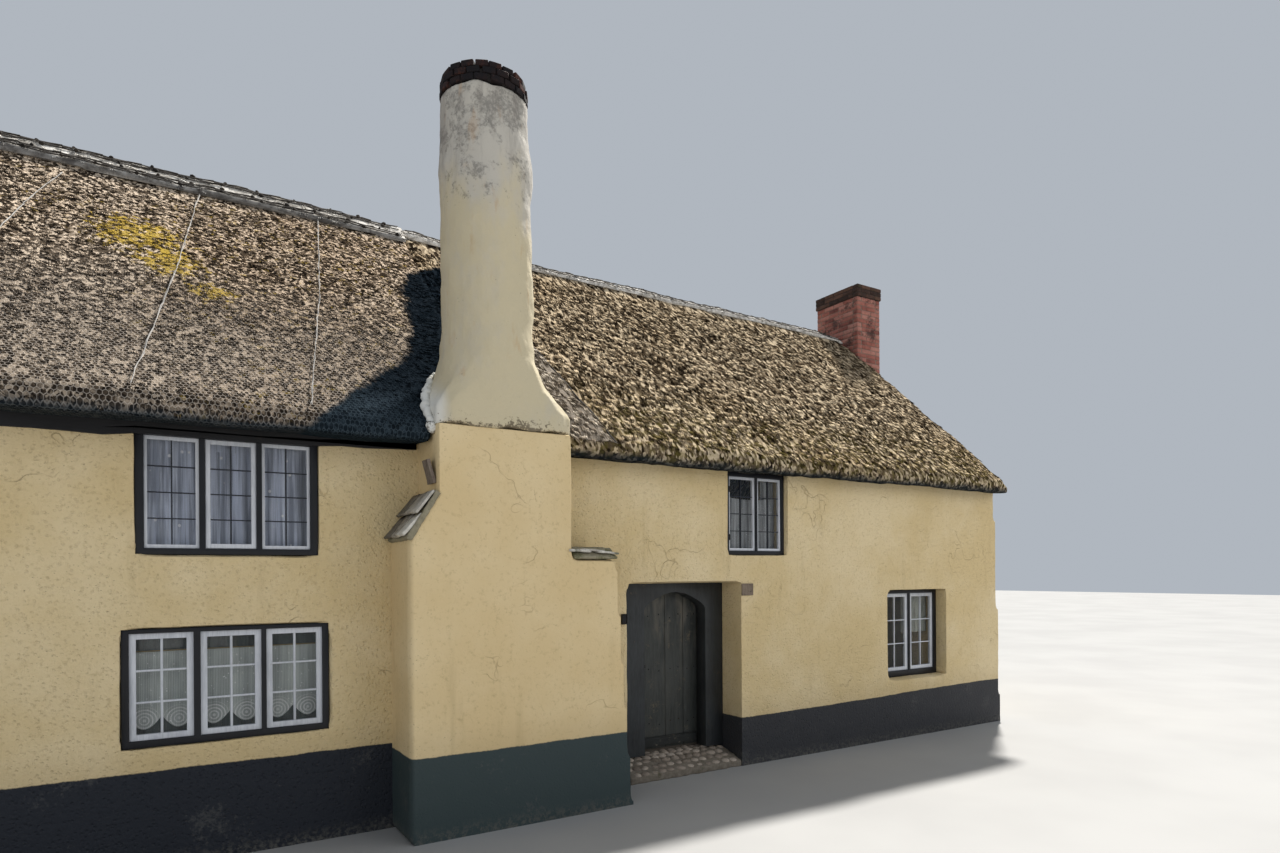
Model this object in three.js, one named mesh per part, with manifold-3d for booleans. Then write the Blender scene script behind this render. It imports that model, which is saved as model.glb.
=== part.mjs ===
// Thatched cottage: an old row cottage with a tall round chimney on its street front.
// Units are millimetres. The drawing frame has X along the street front to the right, Y into the
// house from the face of the front wall, and Z up from the lowest point of the ground. The whole
// drawing is moved at the end so that the origin lies under the middle of the house.
import * as THREE from "three";
import { mergeVertices } from "three/addons/utils/BufferGeometryUtils.js";
import Module from "manifold-3d";

const wasm = await Module();
wasm.setup();

// Driving sizes
const WALL_THICK = 600;
const HOUSE_DEPTH = 5700;
const LEFT_END = -2500;
const PARTY_THICK = 300;
const GABLE_INNER = 10500;
const GABLE_TOP_X = 10920;
const GABLE_BASE_X = 11050;
const EAVES = 3500;
const FIT = 0.4; // open joint between sloping pieces
const RING = 32; // sides of round pieces

const FLOOR_TOP = 205;
const UPPER_FLOOR = { bottom: 2110, top: 2250 };

const DOORWAY = { left: 4380, right: 5930, top: 2180 };
const STEP_TOP = 200;
const DOOR_FRAME = { front: 360, back: 550, left: 4795, right: 5670, spring: 1868, apex: 2075 };
const LEAF = { lap: 28, thick: 50, clear: 6, bottom: 215, top: 2098 };
const HINGE = { x: 5716, y: 618, pin: 7, eye: 14, clear: 0.3, seats: [520, 1780] };
const STRAP = { thick: 8, long: 520, low: 5, high: 45 };
const LATCH = { x: [4840, 4930], proud: 14, z: [1180, 1215] };
const NUMBER_PLATE = { x: [5938, 6112], proud: 12, z: [2026, 2168] };
const BELL_BOX = { x: [4270, 4336], proud: 32, z: [1750, 1860] };

const RIDGE_Y = 2850;
const ROOM_ROOF = { kneeZ: 3750, apexZ: 5950 };
const GABLE_CLIP_Z = 5150;
const ROOF_SPLIT_X = 2700;
const ROOF_END_X = 10965;
const RIDGE_CAP_END = 10700;

const CHIMNEY = { front: -600, left: 1845, right: 3870, rightFoot: 4050 };
const SHOULDER = { leftLow: 2590, leftHigh: 3020, right: 2430 };
const BREAST = { left: 2100, right: 3390, top: 3620 };
const SHAFT = { x: 2700, y: -210, radius: 432, topX: 2678, topRadius: 403, top: 6715, flue: 210 };
const FLUE_BOX = { half: 190, front: -450, back: -120, bottom: 900 };
const STACK = { left: 10480, right: 11050, front: 2300, back: 3270, top: 7130, capTop: 7340 };
const STACK_WALL = { side: 130, front: 200, flueDeep: 1200 };
const CORBEL = 20;

// Finishes
const finish = (colour, roughness, metalness = 0, opacity = 1) =>
  new THREE.MeshStandardMaterial({
    color: colour,
    roughness,
    metalness,
    opacity,
    transparent: opacity < 1,
  });
const FINISH = {
  limewash: finish("#d8c38b", 0.92),
  shaft: finish("#cfc8b4", 0.9),
  soot: finish("#33261f", 0.95),
  brick: finish("#97503c", 0.9),
  slate: finish("#8f8d7e", 0.85),
  thatchNetted: finish("#6d655a", 0.97),
  thatchCoarse: finish("#82765a", 0.97),
  ridge: finish("#aaa69d", 0.95),
  frameBlack: finish("#16171a", 0.6),
  casementWhite: finish("#e4e2e0", 0.55),
  glass: finish("#8d979c", 0.08, 0, 0.35),
  doorDark: finish("#262b2b", 0.6),
  iron: finish("#1c1c1d", 0.6, 0.8),
  stone: finish("#8b8478", 0.92),
  boards: finish("#7c6144", 0.8),
  plate: finish("#8b7f7a", 0.5),
};

// Shape helpers
const ALONG_X = new THREE.Matrix4().makeBasis(
  new THREE.Vector3(0, 1, 0),
  new THREE.Vector3(0, 0, 1),
  new THREE.Vector3(1, 0, 0),
);
const ALONG_Y = new THREE.Matrix4().makeBasis(
  new THREE.Vector3(1, 0, 0),
  new THREE.Vector3(0, 0, 1),
  new THREE.Vector3(0, -1, 0),
);

function extrude(points, depth) {
  const shape = new THREE.Shape(points.map(([a, b]) => new THREE.Vector2(a, b)));
  return new THREE.ExtrudeGeometry(shape, { depth, bevelEnabled: false });
}

// A slab drawn on the X-Z plane, made thick from y0 back to y1 and pierced by its holes.
function facing(points, holes, y0, y1) {
  const g = extrude(points, y1 - y0).applyMatrix4(ALONG_Y).translate(0, y1, 0);
  return holes.length ? cut(g, ...holes.map((hole) => facing(hole, [], y0 - 1, y1 + 1))) : g;
}

// A bar drawn as a section on the Y-Z plane and run from x0 to x1.
function section(points, x0, x1) {
  return extrude(points, x1 - x0).applyMatrix4(ALONG_X).translate(x0, 0, 0);
}

function rect(a0, a1, b0, b1) {
  return [[a0, b0], [a1, b0], [a1, b1], [a0, b1]];
}

function block(x0, x1, y0, y1, z0, z1) {
  const g = new THREE.BoxGeometry(x1 - x0, y1 - y0, z1 - z0);
  return g.translate((x0 + x1) / 2, (y0 + y1) / 2, (z0 + z1) / 2);
}

// A closed skin over rings that all have the same number of points, capped at both ends.
// The rings run anticlockwise as seen from the end that the rings advance towards.
function skin(rings, capPlane) {
  const count = rings[0].length;
  const positions = rings.flat(2);
  const index = [];
  for (let r = 0; r + 1 < rings.length; r++) {
    for (let i = 0; i < count; i++) {
      const j = (i + 1) % count;
      const a = r * count + i;
      const b = r * count + j;
      const c = (r + 1) * count + j;
      const d = (r + 1) * count + i;
      index.push(a, b, c, a, c, d);
    }
  }
  for (const [r, flip] of [[0, true], [rings.length - 1, false]]) {
    const flat = rings[r].map((p) => new THREE.Vector2(p[capPlane[0]], p[capPlane[1]]));
    for (const [a, b, c] of THREE.ShapeUtils.triangulateShape(flat, [])) {
      const o = r * count;
      index.push(...(flip ? [o + a, o + c, o + b] : [o + a, o + b, o + c]));
    }
  }
  const g = new THREE.BufferGeometry();
  g.setAttribute("position", new THREE.Float32BufferAttribute(positions, 3));
  g.setIndex(index);
  return g;
}

function solid(geometry) {
  const bare = new THREE.BufferGeometry();
  bare.setAttribute("position", geometry.getAttribute("position"));
  if (geometry.index) bare.setIndex(geometry.index);
  const merged = mergeVertices(bare, 1e-3);
  return new wasm.Manifold(
    new wasm.Mesh({
      numProp: 3,
      vertProperties: merged.getAttribute("position").array,
      triVerts: new Uint32Array(merged.index.array),
    }),
  );
}

function geometryOf(manifold) {
  const mesh = manifold.getMesh();
  const g = new THREE.BufferGeometry();
  const flat = [];
  for (let i = 0; i < mesh.numVert; i++) {
    for (let k = 0; k < 3; k++) flat.push(mesh.vertProperties[i * mesh.numProp + k]);
  }
  g.setAttribute("position", new THREE.Float32BufferAttribute(flat, 3));
  g.setIndex([...mesh.triVerts]);
  return g;
}

function cut(base, ...cutters) {
  let made = solid(base);
  for (const cutter of cutters) made = made.subtract(solid(cutter));
  return geometryOf(made);
}

function join(base, ...others) {
  let made = solid(base);
  for (const other of others) made = made.add(solid(other));
  return geometryOf(made);
}

function tube(x, y, radius, z0, z1) {
  const g = new THREE.CylinderGeometry(radius, radius, z1 - z0, RING);
  return g.rotateX(Math.PI / 2).translate(x, y, (z0 + z1) / 2);
}

const house = new THREE.Group();
function add(name, geometry, material) {
  const g = geometry.index ? geometry.toNonIndexed() : geometry;
  g.computeVertexNormals();
  const mesh = new THREE.Mesh(g, material);
  mesh.name = name;
  house.add(mesh);
}

// Windows: a black frame, white casements behind its mullions, and a sheet of glass
const WINDOWS = [
  {
    name: "window_upper_left",
    x: [-110, 1227], z: [2470, EAVES], inset: 15, head: 90, sill: 50, side: 60,
    lights: [[-50, 329], [372, 747], [789, 1167]], stile: 24, rail: 30,
  },
  {
    name: "window_lower_left",
    x: [-205, 1310], z: [955, 1885], inset: 20, head: 35, sill: 55, side: 50,
    lights: [[-155, 284], [333, 778], [816, 1260]], stile: 48, rail: 46,
  },
  {
    name: "window_upper_right",
    x: [5755, 6660], z: [2510, EAVES], inset: 45, head: 55, sill: 50, side: 40,
    lights: [[5795, 6203], [6235, 6620]], stile: 28, rail: 30,
  },
  {
    name: "window_lower_right",
    x: [8530, 9720], z: [820, 2045], inset: 150, head: 55, sill: 85, side: 60,
    lights: [[8590, 9110], [9150, 9660]], stile: 50, rail: 48,
  },
];
const FRAME_DEPTH = 90;
const MULLION_DEPTH = 22;
const CASEMENT_DEPTH = 40;
const GLASS_THICK = 6;

function paneHole(w, [x0, x1]) {
  const z0 = w.z[0] + w.sill + w.rail;
  const z1 = w.z[1] - w.head - w.rail;
  return rect(x0 + w.stile, x1 - w.stile, z0, z1);
}

for (const w of WINDOWS) {
  const front = w.inset;
  const inner = [w.x[0] + w.side, w.x[1] - w.side, w.z[0] + w.sill, w.z[1] - w.head];
  const ring = facing(rect(...w.x, ...w.z), [rect(...inner)], front, front + FRAME_DEPTH);
  let frame = solid(ring);
  for (let i = 0; i + 1 < w.lights.length; i++) {
    const bar = rect(w.lights[i][1], w.lights[i + 1][0], inner[2] - 5, inner[3] + 5);
    frame = frame.add(solid(facing(bar, [], front, front + MULLION_DEPTH)));
  }
  add(w.name + "_frame", geometryOf(frame), FINISH.frameBlack);
  const back = front + MULLION_DEPTH + CASEMENT_DEPTH;
  const holes = w.lights.map((light) => paneHole(w, light));
  add(
    w.name + "_casements",
    facing(rect(...inner), holes, front + MULLION_DEPTH, back),
    FINISH.casementWhite,
  );
  add(w.name + "_glass", facing(rect(...inner), [], back, back + GLASS_THICK), FINISH.glass);
}

const BACK_WINDOWS = [
  { name: "back_window_lower_1", x: [-200, 1000], z: [980, 1880] },
  { name: "back_window_lower_2", x: [6900, 8100], z: [980, 1880] },
  { name: "back_window_upper_1", x: [-150, 950], z: [2520, 3380] },
  { name: "back_window_upper_2", x: [6950, 8050], z: [2520, 3380] },
];
const BACK_FRAME = { side: 60, mullion: 70, inset: 60, depth: 70 };

for (const w of BACK_WINDOWS) {
  const mid = (w.x[0] + w.x[1]) / 2;
  const [z0, z1] = [w.z[0] + BACK_FRAME.side, w.z[1] - BACK_FRAME.side];
  const holes = [
    rect(w.x[0] + BACK_FRAME.side, mid - BACK_FRAME.mullion / 2, z0, z1),
    rect(mid + BACK_FRAME.mullion / 2, w.x[1] - BACK_FRAME.side, z0, z1),
  ];
  const outer = HOUSE_DEPTH - BACK_FRAME.inset;
  const inner = outer - BACK_FRAME.depth;
  add(w.name + "_frame", facing(rect(...w.x, ...w.z), holes, inner, outer), FINISH.casementWhite);
  add(w.name + "_glass", facing(rect(...w.x, ...w.z), [], inner - GLASS_THICK, inner), FINISH.glass);
}

// Walls and floors
const [upperLeft, lowerLeft, upperRight, lowerRight] = WINDOWS;
const innerLeft = LEFT_END + PARTY_THICK;

// The outline of a wall whose top is notched where a window stands right under the thatch.
function notched(x0, x1, z0, window) {
  return [
    [x0, z0], [x1, z0], [x1, EAVES],
    [window.x[1], EAVES], [window.x[1], window.z[0]],
    [window.x[0], window.z[0]], [window.x[0], EAVES],
    [x0, EAVES],
  ];
}

add(
  "front_wall_left",
  facing(
    notched(innerLeft, DOORWAY.left, 0, upperLeft),
    [rect(...lowerLeft.x, ...lowerLeft.z)],
    0,
    WALL_THICK,
  ),
  FINISH.limewash,
);
add(
  "front_wall_over_door",
  facing(notched(DOORWAY.left, GABLE_INNER, DOORWAY.top, upperRight), [], 0, WALL_THICK),
  FINISH.limewash,
);
add(
  "front_wall_right",
  facing(
    rect(DOORWAY.right, GABLE_INNER, 0, DOORWAY.top),
    [rect(...lowerRight.x, ...lowerRight.z)],
    0,
    WALL_THICK,
  ),
  FINISH.limewash,
);
add(
  "back_wall",
  facing(
    rect(innerLeft, GABLE_INNER, 0, EAVES),
    BACK_WINDOWS.map((w) => rect(...w.x, ...w.z)),
    HOUSE_DEPTH - WALL_THICK,
    HOUSE_DEPTH,
  ),
  FINISH.limewash,
);

// The section of the space under the roof, shrunk by gap where a wall is built up into it.
function roofSpace(gap, clipZ) {
  const [y0, y1] = [WALL_THICK + gap, HOUSE_DEPTH - WALL_THICK - gap];
  const slope = (ROOM_ROOF.apexZ - ROOM_ROOF.kneeZ) / (RIDGE_Y - WALL_THICK);
  const knee = ROOM_ROOF.kneeZ - gap;
  const top = Math.min(ROOM_ROOF.apexZ - gap * 2, clipZ - gap);
  const run = (top - knee) / slope;
  const flatTop = [[y1 - run, top], [y0 + run, top]];
  const pointed = y1 - y0 - 2 * run < 4;
  return [[y1, knee], ...(pointed ? [[RIDGE_Y, top]] : flatTop), [y0, knee]];
}

// The section of an end wall, built up into the space under the roof.
function endWall(clipZ) {
  return [
    [0, 0], [HOUSE_DEPTH, 0], [HOUSE_DEPTH, EAVES], [HOUSE_DEPTH - WALL_THICK - FIT, EAVES],
    ...roofSpace(FIT, clipZ),
    [WALL_THICK + FIT, EAVES], [0, EAVES],
  ];
}

add("party_wall", section(endWall(Infinity), LEFT_END, innerLeft), FINISH.limewash);

// The right-hand gable leans in towards its top.
const gable = section(endWall(GABLE_CLIP_Z), GABLE_INNER, GABLE_BASE_X);
const gablePoints = gable.getAttribute("position");
for (let i = 0; i < gablePoints.count; i++) {
  if (gablePoints.getX(i) > GABLE_INNER + 1) {
    const lean = ((GABLE_BASE_X - GABLE_TOP_X) * gablePoints.getZ(i)) / EAVES;
    gablePoints.setX(i, GABLE_BASE_X - Math.min(lean, GABLE_BASE_X - GABLE_TOP_X));
  }
}
add("gable_wall", gable, FINISH.limewash);

const room = [innerLeft, GABLE_INNER, WALL_THICK, HOUSE_DEPTH - WALL_THICK];
add("ground_floor", block(...room, 0, FLOOR_TOP), FINISH.stone);
add("upper_floor", block(...room, UPPER_FLOOR.bottom, UPPER_FLOOR.top), FINISH.boards);
add("doorstep", block(DOORWAY.left, DOORWAY.right, 0, WALL_THICK, 0, STEP_TOP), FINISH.stone);

// Doorway
// Half of a four-centred arch, from its springing to its point, as fractions of width and rise.
const ARCH_HALF = [
  [0, 0], [0.04, 0.17], [0.12, 0.33], [0.24, 0.49], [0.45, 0.71], [0.64, 0.88], [0.84, 0.97], [1, 1],
];

function doorArch() {
  const { left, right, spring, apex } = DOOR_FRAME;
  const half = (right - left) / 2;
  const mid = (left + right) / 2;
  const rise = apex - spring;
  const rightSide = ARCH_HALF.slice(0, -1).reverse();
  return [
    ...ARCH_HALF.map(([u, v]) => [mid - half * (1 - u), spring + rise * v]),
    ...rightSide.map(([u, v]) => [mid + half * (1 - u), spring + rise * v]),
  ];
}

// The leaf hangs on two pins driven into the back of the frame, through the eyes of its straps.
const pins = HINGE.seats.flatMap((z) => [
  block(
    HINGE.x - HINGE.pin, HINGE.x + HINGE.pin, DOOR_FRAME.back - 5, HINGE.y + HINGE.pin,
    z - 24, z,
  ),
  tube(HINGE.x, HINGE.y, HINGE.pin, z - 10, z + 60),
]);
const leafFront = DOOR_FRAME.back + LEAF.clear;
const leafBack = leafFront + LEAF.thick;
const straps = HINGE.seats.flatMap((z) => [
  block(
    HINGE.x - STRAP.long, HINGE.x, leafBack - 1, leafBack + STRAP.thick,
    z + STRAP.low, z + STRAP.high,
  ),
  tube(HINGE.x, HINGE.y, HINGE.eye, z + HINGE.clear, z + STRAP.high + 5),
]);
const eyeHoles = HINGE.seats.map((z) =>
  tube(HINGE.x, HINGE.y, HINGE.pin + HINGE.clear, z - 5, z + 65),
);
const doorSurround = facing(
  [
    [DOORWAY.left, STEP_TOP],
    [DOOR_FRAME.left, STEP_TOP],
    ...doorArch(),
    [DOOR_FRAME.right, STEP_TOP],
    [DOORWAY.right, STEP_TOP],
    [DOORWAY.right, DOORWAY.top],
    [DOORWAY.left, DOORWAY.top],
  ],
  [],
  DOOR_FRAME.front,
  DOOR_FRAME.back,
);
const leaf = block(
  DOOR_FRAME.left - LEAF.lap, DOOR_FRAME.right + LEAF.lap, leafFront, leafBack,
  LEAF.bottom, LEAF.top,
);
add("door_frame", join(doorSurround, ...pins), FINISH.doorDark);
add("door_leaf", cut(join(leaf, ...straps), ...eyeHoles), FINISH.doorDark);
add("door_latch", block(...LATCH.x, leafFront - LATCH.proud, leafFront, ...LATCH.z), FINISH.iron);
add(
  "number_plate",
  block(...NUMBER_PLATE.x, -NUMBER_PLATE.proud, 0, ...NUMBER_PLATE.z),
  FINISH.plate,
);
add("bell_box", block(...BELL_BOX.x, -BELL_BOX.proud, 0, ...BELL_BOX.z), FINISH.iron);

// Large front chimney
add(
  "chimney_breast",
  cut(
    facing(
      [
        [CHIMNEY.left, 0], [CHIMNEY.rightFoot, 0],
        [CHIMNEY.right, SHOULDER.right], [BREAST.right, SHOULDER.right],
        [BREAST.right, BREAST.top], [BREAST.left, BREAST.top],
        [BREAST.left, SHOULDER.leftHigh], [CHIMNEY.left, SHOULDER.leftLow],
      ],
      [],
      CHIMNEY.front,
      0,
    ),
    block(
      SHAFT.x - FLUE_BOX.half, SHAFT.x + FLUE_BOX.half, FLUE_BOX.front, FLUE_BOX.back,
      FLUE_BOX.bottom, BREAST.top + 100,
    ),
  ),
  FINISH.limewash,
);

// A ring of points round the shaft: square is 0 for round and 1 for the rectangle of the foot.
function chimneyRing(z, square, x, y, radius, foot, grow) {
  const points = [];
  for (let i = 0; i < RING; i++) {
    const turn = (2 * Math.PI * (i + 0.5)) / RING;
    const [c, s] = [Math.cos(turn), Math.sin(turn)];
    const reach = 1 / Math.max(Math.abs(c), Math.abs(s));
    const footX = (foot.x0 + foot.x1) / 2 + (c * reach * (foot.x1 - foot.x0)) / 2;
    const footY = (foot.y0 + foot.y1) / 2 + (s * reach * (foot.y1 - foot.y0)) / 2;
    const px = square * footX + (1 - square) * (x + radius * c);
    const py = square * footY + (1 - square) * (y + radius * s);
    points.push([px + grow * c, py + grow * s, z]);
  }
  return points;
}

// The square foot of the shaft, which stands on the breast and flares up into the round.
const FOOT = { x0: 2095, x1: 3405, y0: -622, y1: 240 };
const FLARE = { squareTo: 160, mid: 4060, midSquare: 0.35, neck: 4290, neckSwell: 12, round: 4500 };

// The rings of the whole shaft. The fifth one parts the flare below from the round shaft above.
const FLARE_RINGS = 5;
function shaftRings(grow, bottom, top) {
  const { x, y, radius } = SHAFT;
  return [
    chimneyRing(bottom, 1, 0, 0, 0, FOOT, grow),
    chimneyRing(BREAST.top + FLARE.squareTo, 1, 0, 0, 0, FOOT, grow),
    chimneyRing(FLARE.mid, FLARE.midSquare, x, y, radius, FOOT, grow),
    chimneyRing(FLARE.neck, 0, x, y, radius + FLARE.neckSwell, FOOT, grow),
    chimneyRing(FLARE.round, 0, x, y, radius, FOOT, grow),
    chimneyRing(top, 0, SHAFT.topX, y, SHAFT.topRadius, FOOT, grow),
  ];
}

const rings = shaftRings(0, BREAST.top, SHAFT.top);
const flue = tube(SHAFT.topX, SHAFT.y, SHAFT.flue, BREAST.top - 10, SHAFT.top + 10);
add("chimney_flare", cut(skin(rings.slice(0, FLARE_RINGS), [0, 1]), flue), FINISH.shaft);
add("chimney_shaft", cut(skin(rings.slice(FLARE_RINGS - 1), [0, 1]), flue), FINISH.shaft);

const capRings = [
  chimneyRing(SHAFT.top, 0, SHAFT.topX, SHAFT.y, SHAFT.topRadius + 12, FOOT, 0),
  chimneyRing(SHAFT.top + 100, 0, SHAFT.topX, SHAFT.y, SHAFT.topRadius + 4, FOOT, 0),
  chimneyRing(SHAFT.top + 185, 0, SHAFT.topX, SHAFT.y, SHAFT.topRadius - 12, FOOT, 0),
];
add(
  "chimney_cap",
  cut(
    skin(capRings, [0, 1]),
    tube(SHAFT.topX, SHAFT.y, SHAFT.flue + 40, SHAFT.top - 10, SHAFT.top + 195),
  ),
  FINISH.soot,
);

// Slates lie on the sloping left shoulder and in a small pent on the right one.
const SLATE = { thick: 55, over: 30, hang: 70, short: 30 };
const PENT = { back: 150, knee: [125, 130], edge: 25, side: 20 };
const shoulderRun = BREAST.left - CHIMNEY.left;
const shoulderRise = SHOULDER.leftHigh - SHOULDER.leftLow;
const shoulderLength = Math.hypot(shoulderRun, shoulderRise);
const alongX = shoulderRun / shoulderLength;
const alongZ = shoulderRise / shoulderLength;
const lift = (t, n) => [
  CHIMNEY.left + t * alongX - n * alongZ,
  SHOULDER.leftLow + t * alongZ + n * alongX,
];
add(
  "shoulder_slates_left",
  facing(
    [
      lift(-SLATE.hang, FIT), lift(shoulderLength - SLATE.short, FIT),
      lift(shoulderLength - SLATE.short, SLATE.thick), lift(-SLATE.hang, SLATE.thick),
    ],
    [],
    CHIMNEY.front - SLATE.over,
    0,
  ),
  FINISH.slate,
);
add(
  "shoulder_slates_right",
  section(
    [
      [CHIMNEY.front - SLATE.over, SHOULDER.right],
      [0, SHOULDER.right],
      [0, SHOULDER.right + PENT.back],
      [CHIMNEY.front + PENT.knee[0], SHOULDER.right + PENT.knee[1]],
      [CHIMNEY.front - SLATE.over, SHOULDER.right + PENT.edge],
    ],
    BREAST.right,
    CHIMNEY.right + PENT.side,
  ),
  FINISH.slate,
);

// Brick stack on the gable
function stackFlue(z0, z1) {
  const { side, front } = STACK_WALL;
  return block(
    STACK.left + side, STACK.right - side, STACK.front + front, STACK.back - front, z0, z1,
  );
}

add(
  "gable_stack",
  cut(
    block(STACK.left, STACK.right, STACK.front, STACK.back, GABLE_CLIP_Z, STACK.top),
    stackFlue(STACK.top - STACK_WALL.flueDeep, STACK.top + 10),
  ),
  FINISH.brick,
);
add(
  "gable_stack_cap",
  cut(
    block(
      STACK.left - CORBEL, STACK.right + CORBEL, STACK.front - CORBEL, STACK.back + CORBEL,
      STACK.top, STACK.capTop,
    ),
    stackFlue(STACK.top - 10, STACK.capTop + 10),
  ),
  FINISH.soot,
);

// Thatch
// The slopes roll gently up and down between the stations, as old thatch does.
const ROLLS = { apart: 1000, swell: 35, height: 18, along: 0.0043, up: 9 };

// Adds stations between those that lie too far apart.
function filled(stations) {
  const result = [];
  stations.forEach((station, index) => {
    result.push(station);
    const next = stations[index + 1];
    const count = next ? Math.round((next[0] - station[0]) / ROLLS.apart) : 0;
    for (let step = 1; step < count; step += 1) {
      result.push(station.map((value, i) => value + ((next[i] - value) * step) / count));
    }
  });
  return result;
}

// Each station along the roof: where it is, its ridge height, how far the front eave hangs out,
// the level of its underside there, and how far the roof rolls down at its right-hand end.
const LEFT_STATIONS = filled([
  [LEFT_END, 6700, -500, 3440, 0],
  [-900, 6698, -505, 3462, 0],
  [600, 6690, -500, 3455, 0],
  [1700, 6680, -500, 3450, 0],
  [ROOF_SPLIT_X, 6655, -480, 3450, 0],
]);
const RIGHT_STATIONS = filled([
  [ROOF_SPLIT_X, 6645, -330, 3460, 0],
  [3600, 6585, -310, 3462, 0],
  [4900, 6565, -300, 3460, 0],
  [6500, 6545, -300, 3458, 0],
  [8300, 6530, -300, 3452, 0],
  [9900, 6510, -305, 3455, 0],
  [10300, 6505, -305, 3456, 12],
  [10520, 6500, -300, 3458, 50],
  [10680, 6495, -290, 3460, 120],
  [10790, 6490, -275, 3464, 205],
  [10870, 6485, -250, 3470, 300],
  [10930, 6480, -215, 3480, 400],
  [ROOF_END_X, 6480, -170, 3492, 500],
]);
const BACK_EAVE_EXTRA = 60; // how much further the back eave hangs out
const LIP = 250; // height of the cut edge at the eaves
const LIP_ROLL = 0.4; // share of the end's roll that the eave takes
const RIDGE_BAND = { left: 400, right: 240 };
const RIDGE_THICK = { left: 70, right: 55, bed: 40 };

// The outer face of the thatch at one station, from the back eave over the ridge to the front.
// The middle five points are the part that the ridge roll covers.
function thatchFace([x, ridge, frontY, under, drop], band) {
  const side = (eaveY) => {
    const dir = Math.sign(RIDGE_Y - eaveY);
    const lip = LIP - drop * LIP_ROLL;
    const base = [eaveY + dir * 90, under + LIP];
    const top = [RIDGE_Y - dir * band, ridge - 60 - (band - 150) * 0.93];
    const swell = (t) =>
      ROLLS.swell + ROLLS.height * Math.sin(x * ROLLS.along + (t + dir) * ROLLS.up);
    const at = (t) => [
      base[0] + (top[0] - base[0]) * t,
      base[1] + (top[1] - base[1]) * t + swell(t),
    ];
    const sag = (t) => drop * (LIP_ROLL + (1 - LIP_ROLL) * t);
    return [
      [eaveY + dir * 30, under],
      [eaveY, under + lip * 0.28],
      [eaveY + dir * 20, under + lip * 0.68],
      [base[0], under + lip],
      ...[0.3, 0.65].map((t) => {
        const [y, z] = at(t);
        return [y, z - sag(t)];
      }),
      [top[0], top[1] - sag(0.93)],
      [RIDGE_Y - dir * 150, ridge - 60 - drop],
    ];
  };
  const back = side(HOUSE_DEPTH - frontY + BACK_EAVE_EXTRA);
  const front = side(frontY);
  return [...back, [RIDGE_Y, ridge - drop], ...front.reverse()];
}

function thatch(stations, band, x0, x1, cutters) {
  const rings = stations.map((station) => {
    const face = thatchFace(station, band);
    const foot = [[-1, EAVES], [HOUSE_DEPTH + 1, EAVES]];
    return [...foot, ...face].map(([y, z]) => [station[0], y, z]);
  });
  const spaceEnd = Math.min(x1, GABLE_INNER);
  const space = (clip, a, b) =>
    section(
      [
        [HOUSE_DEPTH - WALL_THICK, EAVES - 10], ...roofSpace(0, clip), [WALL_THICK, EAVES - 10],
      ],
      a,
      b,
    );
  const spaces = [space(Infinity, x0 - 10, spaceEnd + (spaceEnd < x1 ? 0 : 10))];
  if (spaceEnd < x1) spaces.push(space(GABLE_CLIP_Z, spaceEnd - 10, x1 + 10));
  return cut(skin(rings, [1, 2]), ...spaces, ...cutters);
}

const chimneyCut = skin(shaftRings(1, EAVES - 200, SHAFT.top), [0, 1]);
const stackCut = block(
  STACK.left - FIT, STACK.right + 60, STACK.front - FIT, STACK.back + FIT,
  GABLE_CLIP_Z - 1, STACK.top,
);
const thatchLeft = thatch(LEFT_STATIONS, RIDGE_BAND.left, LEFT_END, ROOF_SPLIT_X, [chimneyCut]);
const thatchRight = thatch(
  RIGHT_STATIONS, RIDGE_BAND.right, ROOF_SPLIT_X, ROOF_END_X, [chimneyCut, stackCut],
);
add("thatch_left", thatchLeft, FINISH.thatchNetted);
add("thatch_right", thatchRight, FINISH.thatchCoarse);

// The ridge roll laps over the top of the thatch on both slopes and is fitted to its face.
function ridgeRoll(stations, band, thick, bed, ...cutters) {
  const rings = stations.map((station) => {
    const face = thatchFace(station, band);
    const middle = (face.length - 1) / 2;
    const over = face.slice(middle - 2, middle + 3);
    const lower = over.map(([y, z]) => [y, z - RIDGE_THICK.bed]).reverse();
    const upper = over.map(([y, z]) => [y, z + thick]);
    return [...lower, ...upper].map(([y, z]) => [station[0], y, z]);
  });
  return cut(skin(rings, [1, 2]), bed.clone().translate(0, 0, FIT), ...cutters);
}

add(
  "ridge_cap_left",
  ridgeRoll(LEFT_STATIONS, RIDGE_BAND.left, RIDGE_THICK.left, thatchLeft),
  FINISH.ridge,
);
const cappedStations = RIGHT_STATIONS.filter(([x]) => x < RIDGE_CAP_END);
add(
  "ridge_cap_right",
  ridgeRoll(cappedStations, RIDGE_BAND.right, RIDGE_THICK.right, thatchRight, stackCut),
  FINISH.ridge,
);

// The origin lies under the middle of the overall box
const BOX_MIDDLE_Y = 2800;
house.position.set(-(LEFT_END + GABLE_BASE_X + CORBEL) / 2, -BOX_MIDDLE_Y, 0);
const cottage = new THREE.Group();
cottage.add(house);

export default cottage;
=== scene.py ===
"""Looks of the thatched cottage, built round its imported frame.

Lengths are metres in the row frame: X along the street front to the right, Y from the street
into the house, and Z up from the lowest point of the ground.
"""
import logging
import math
from dataclasses import dataclass, field
from enum import Enum
from typing import Callable, Iterable, Sequence

import bmesh
import bpy
import numpy as np
from mathutils import Matrix, Vector
from mathutils.bvhtree import BVHTree


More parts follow.
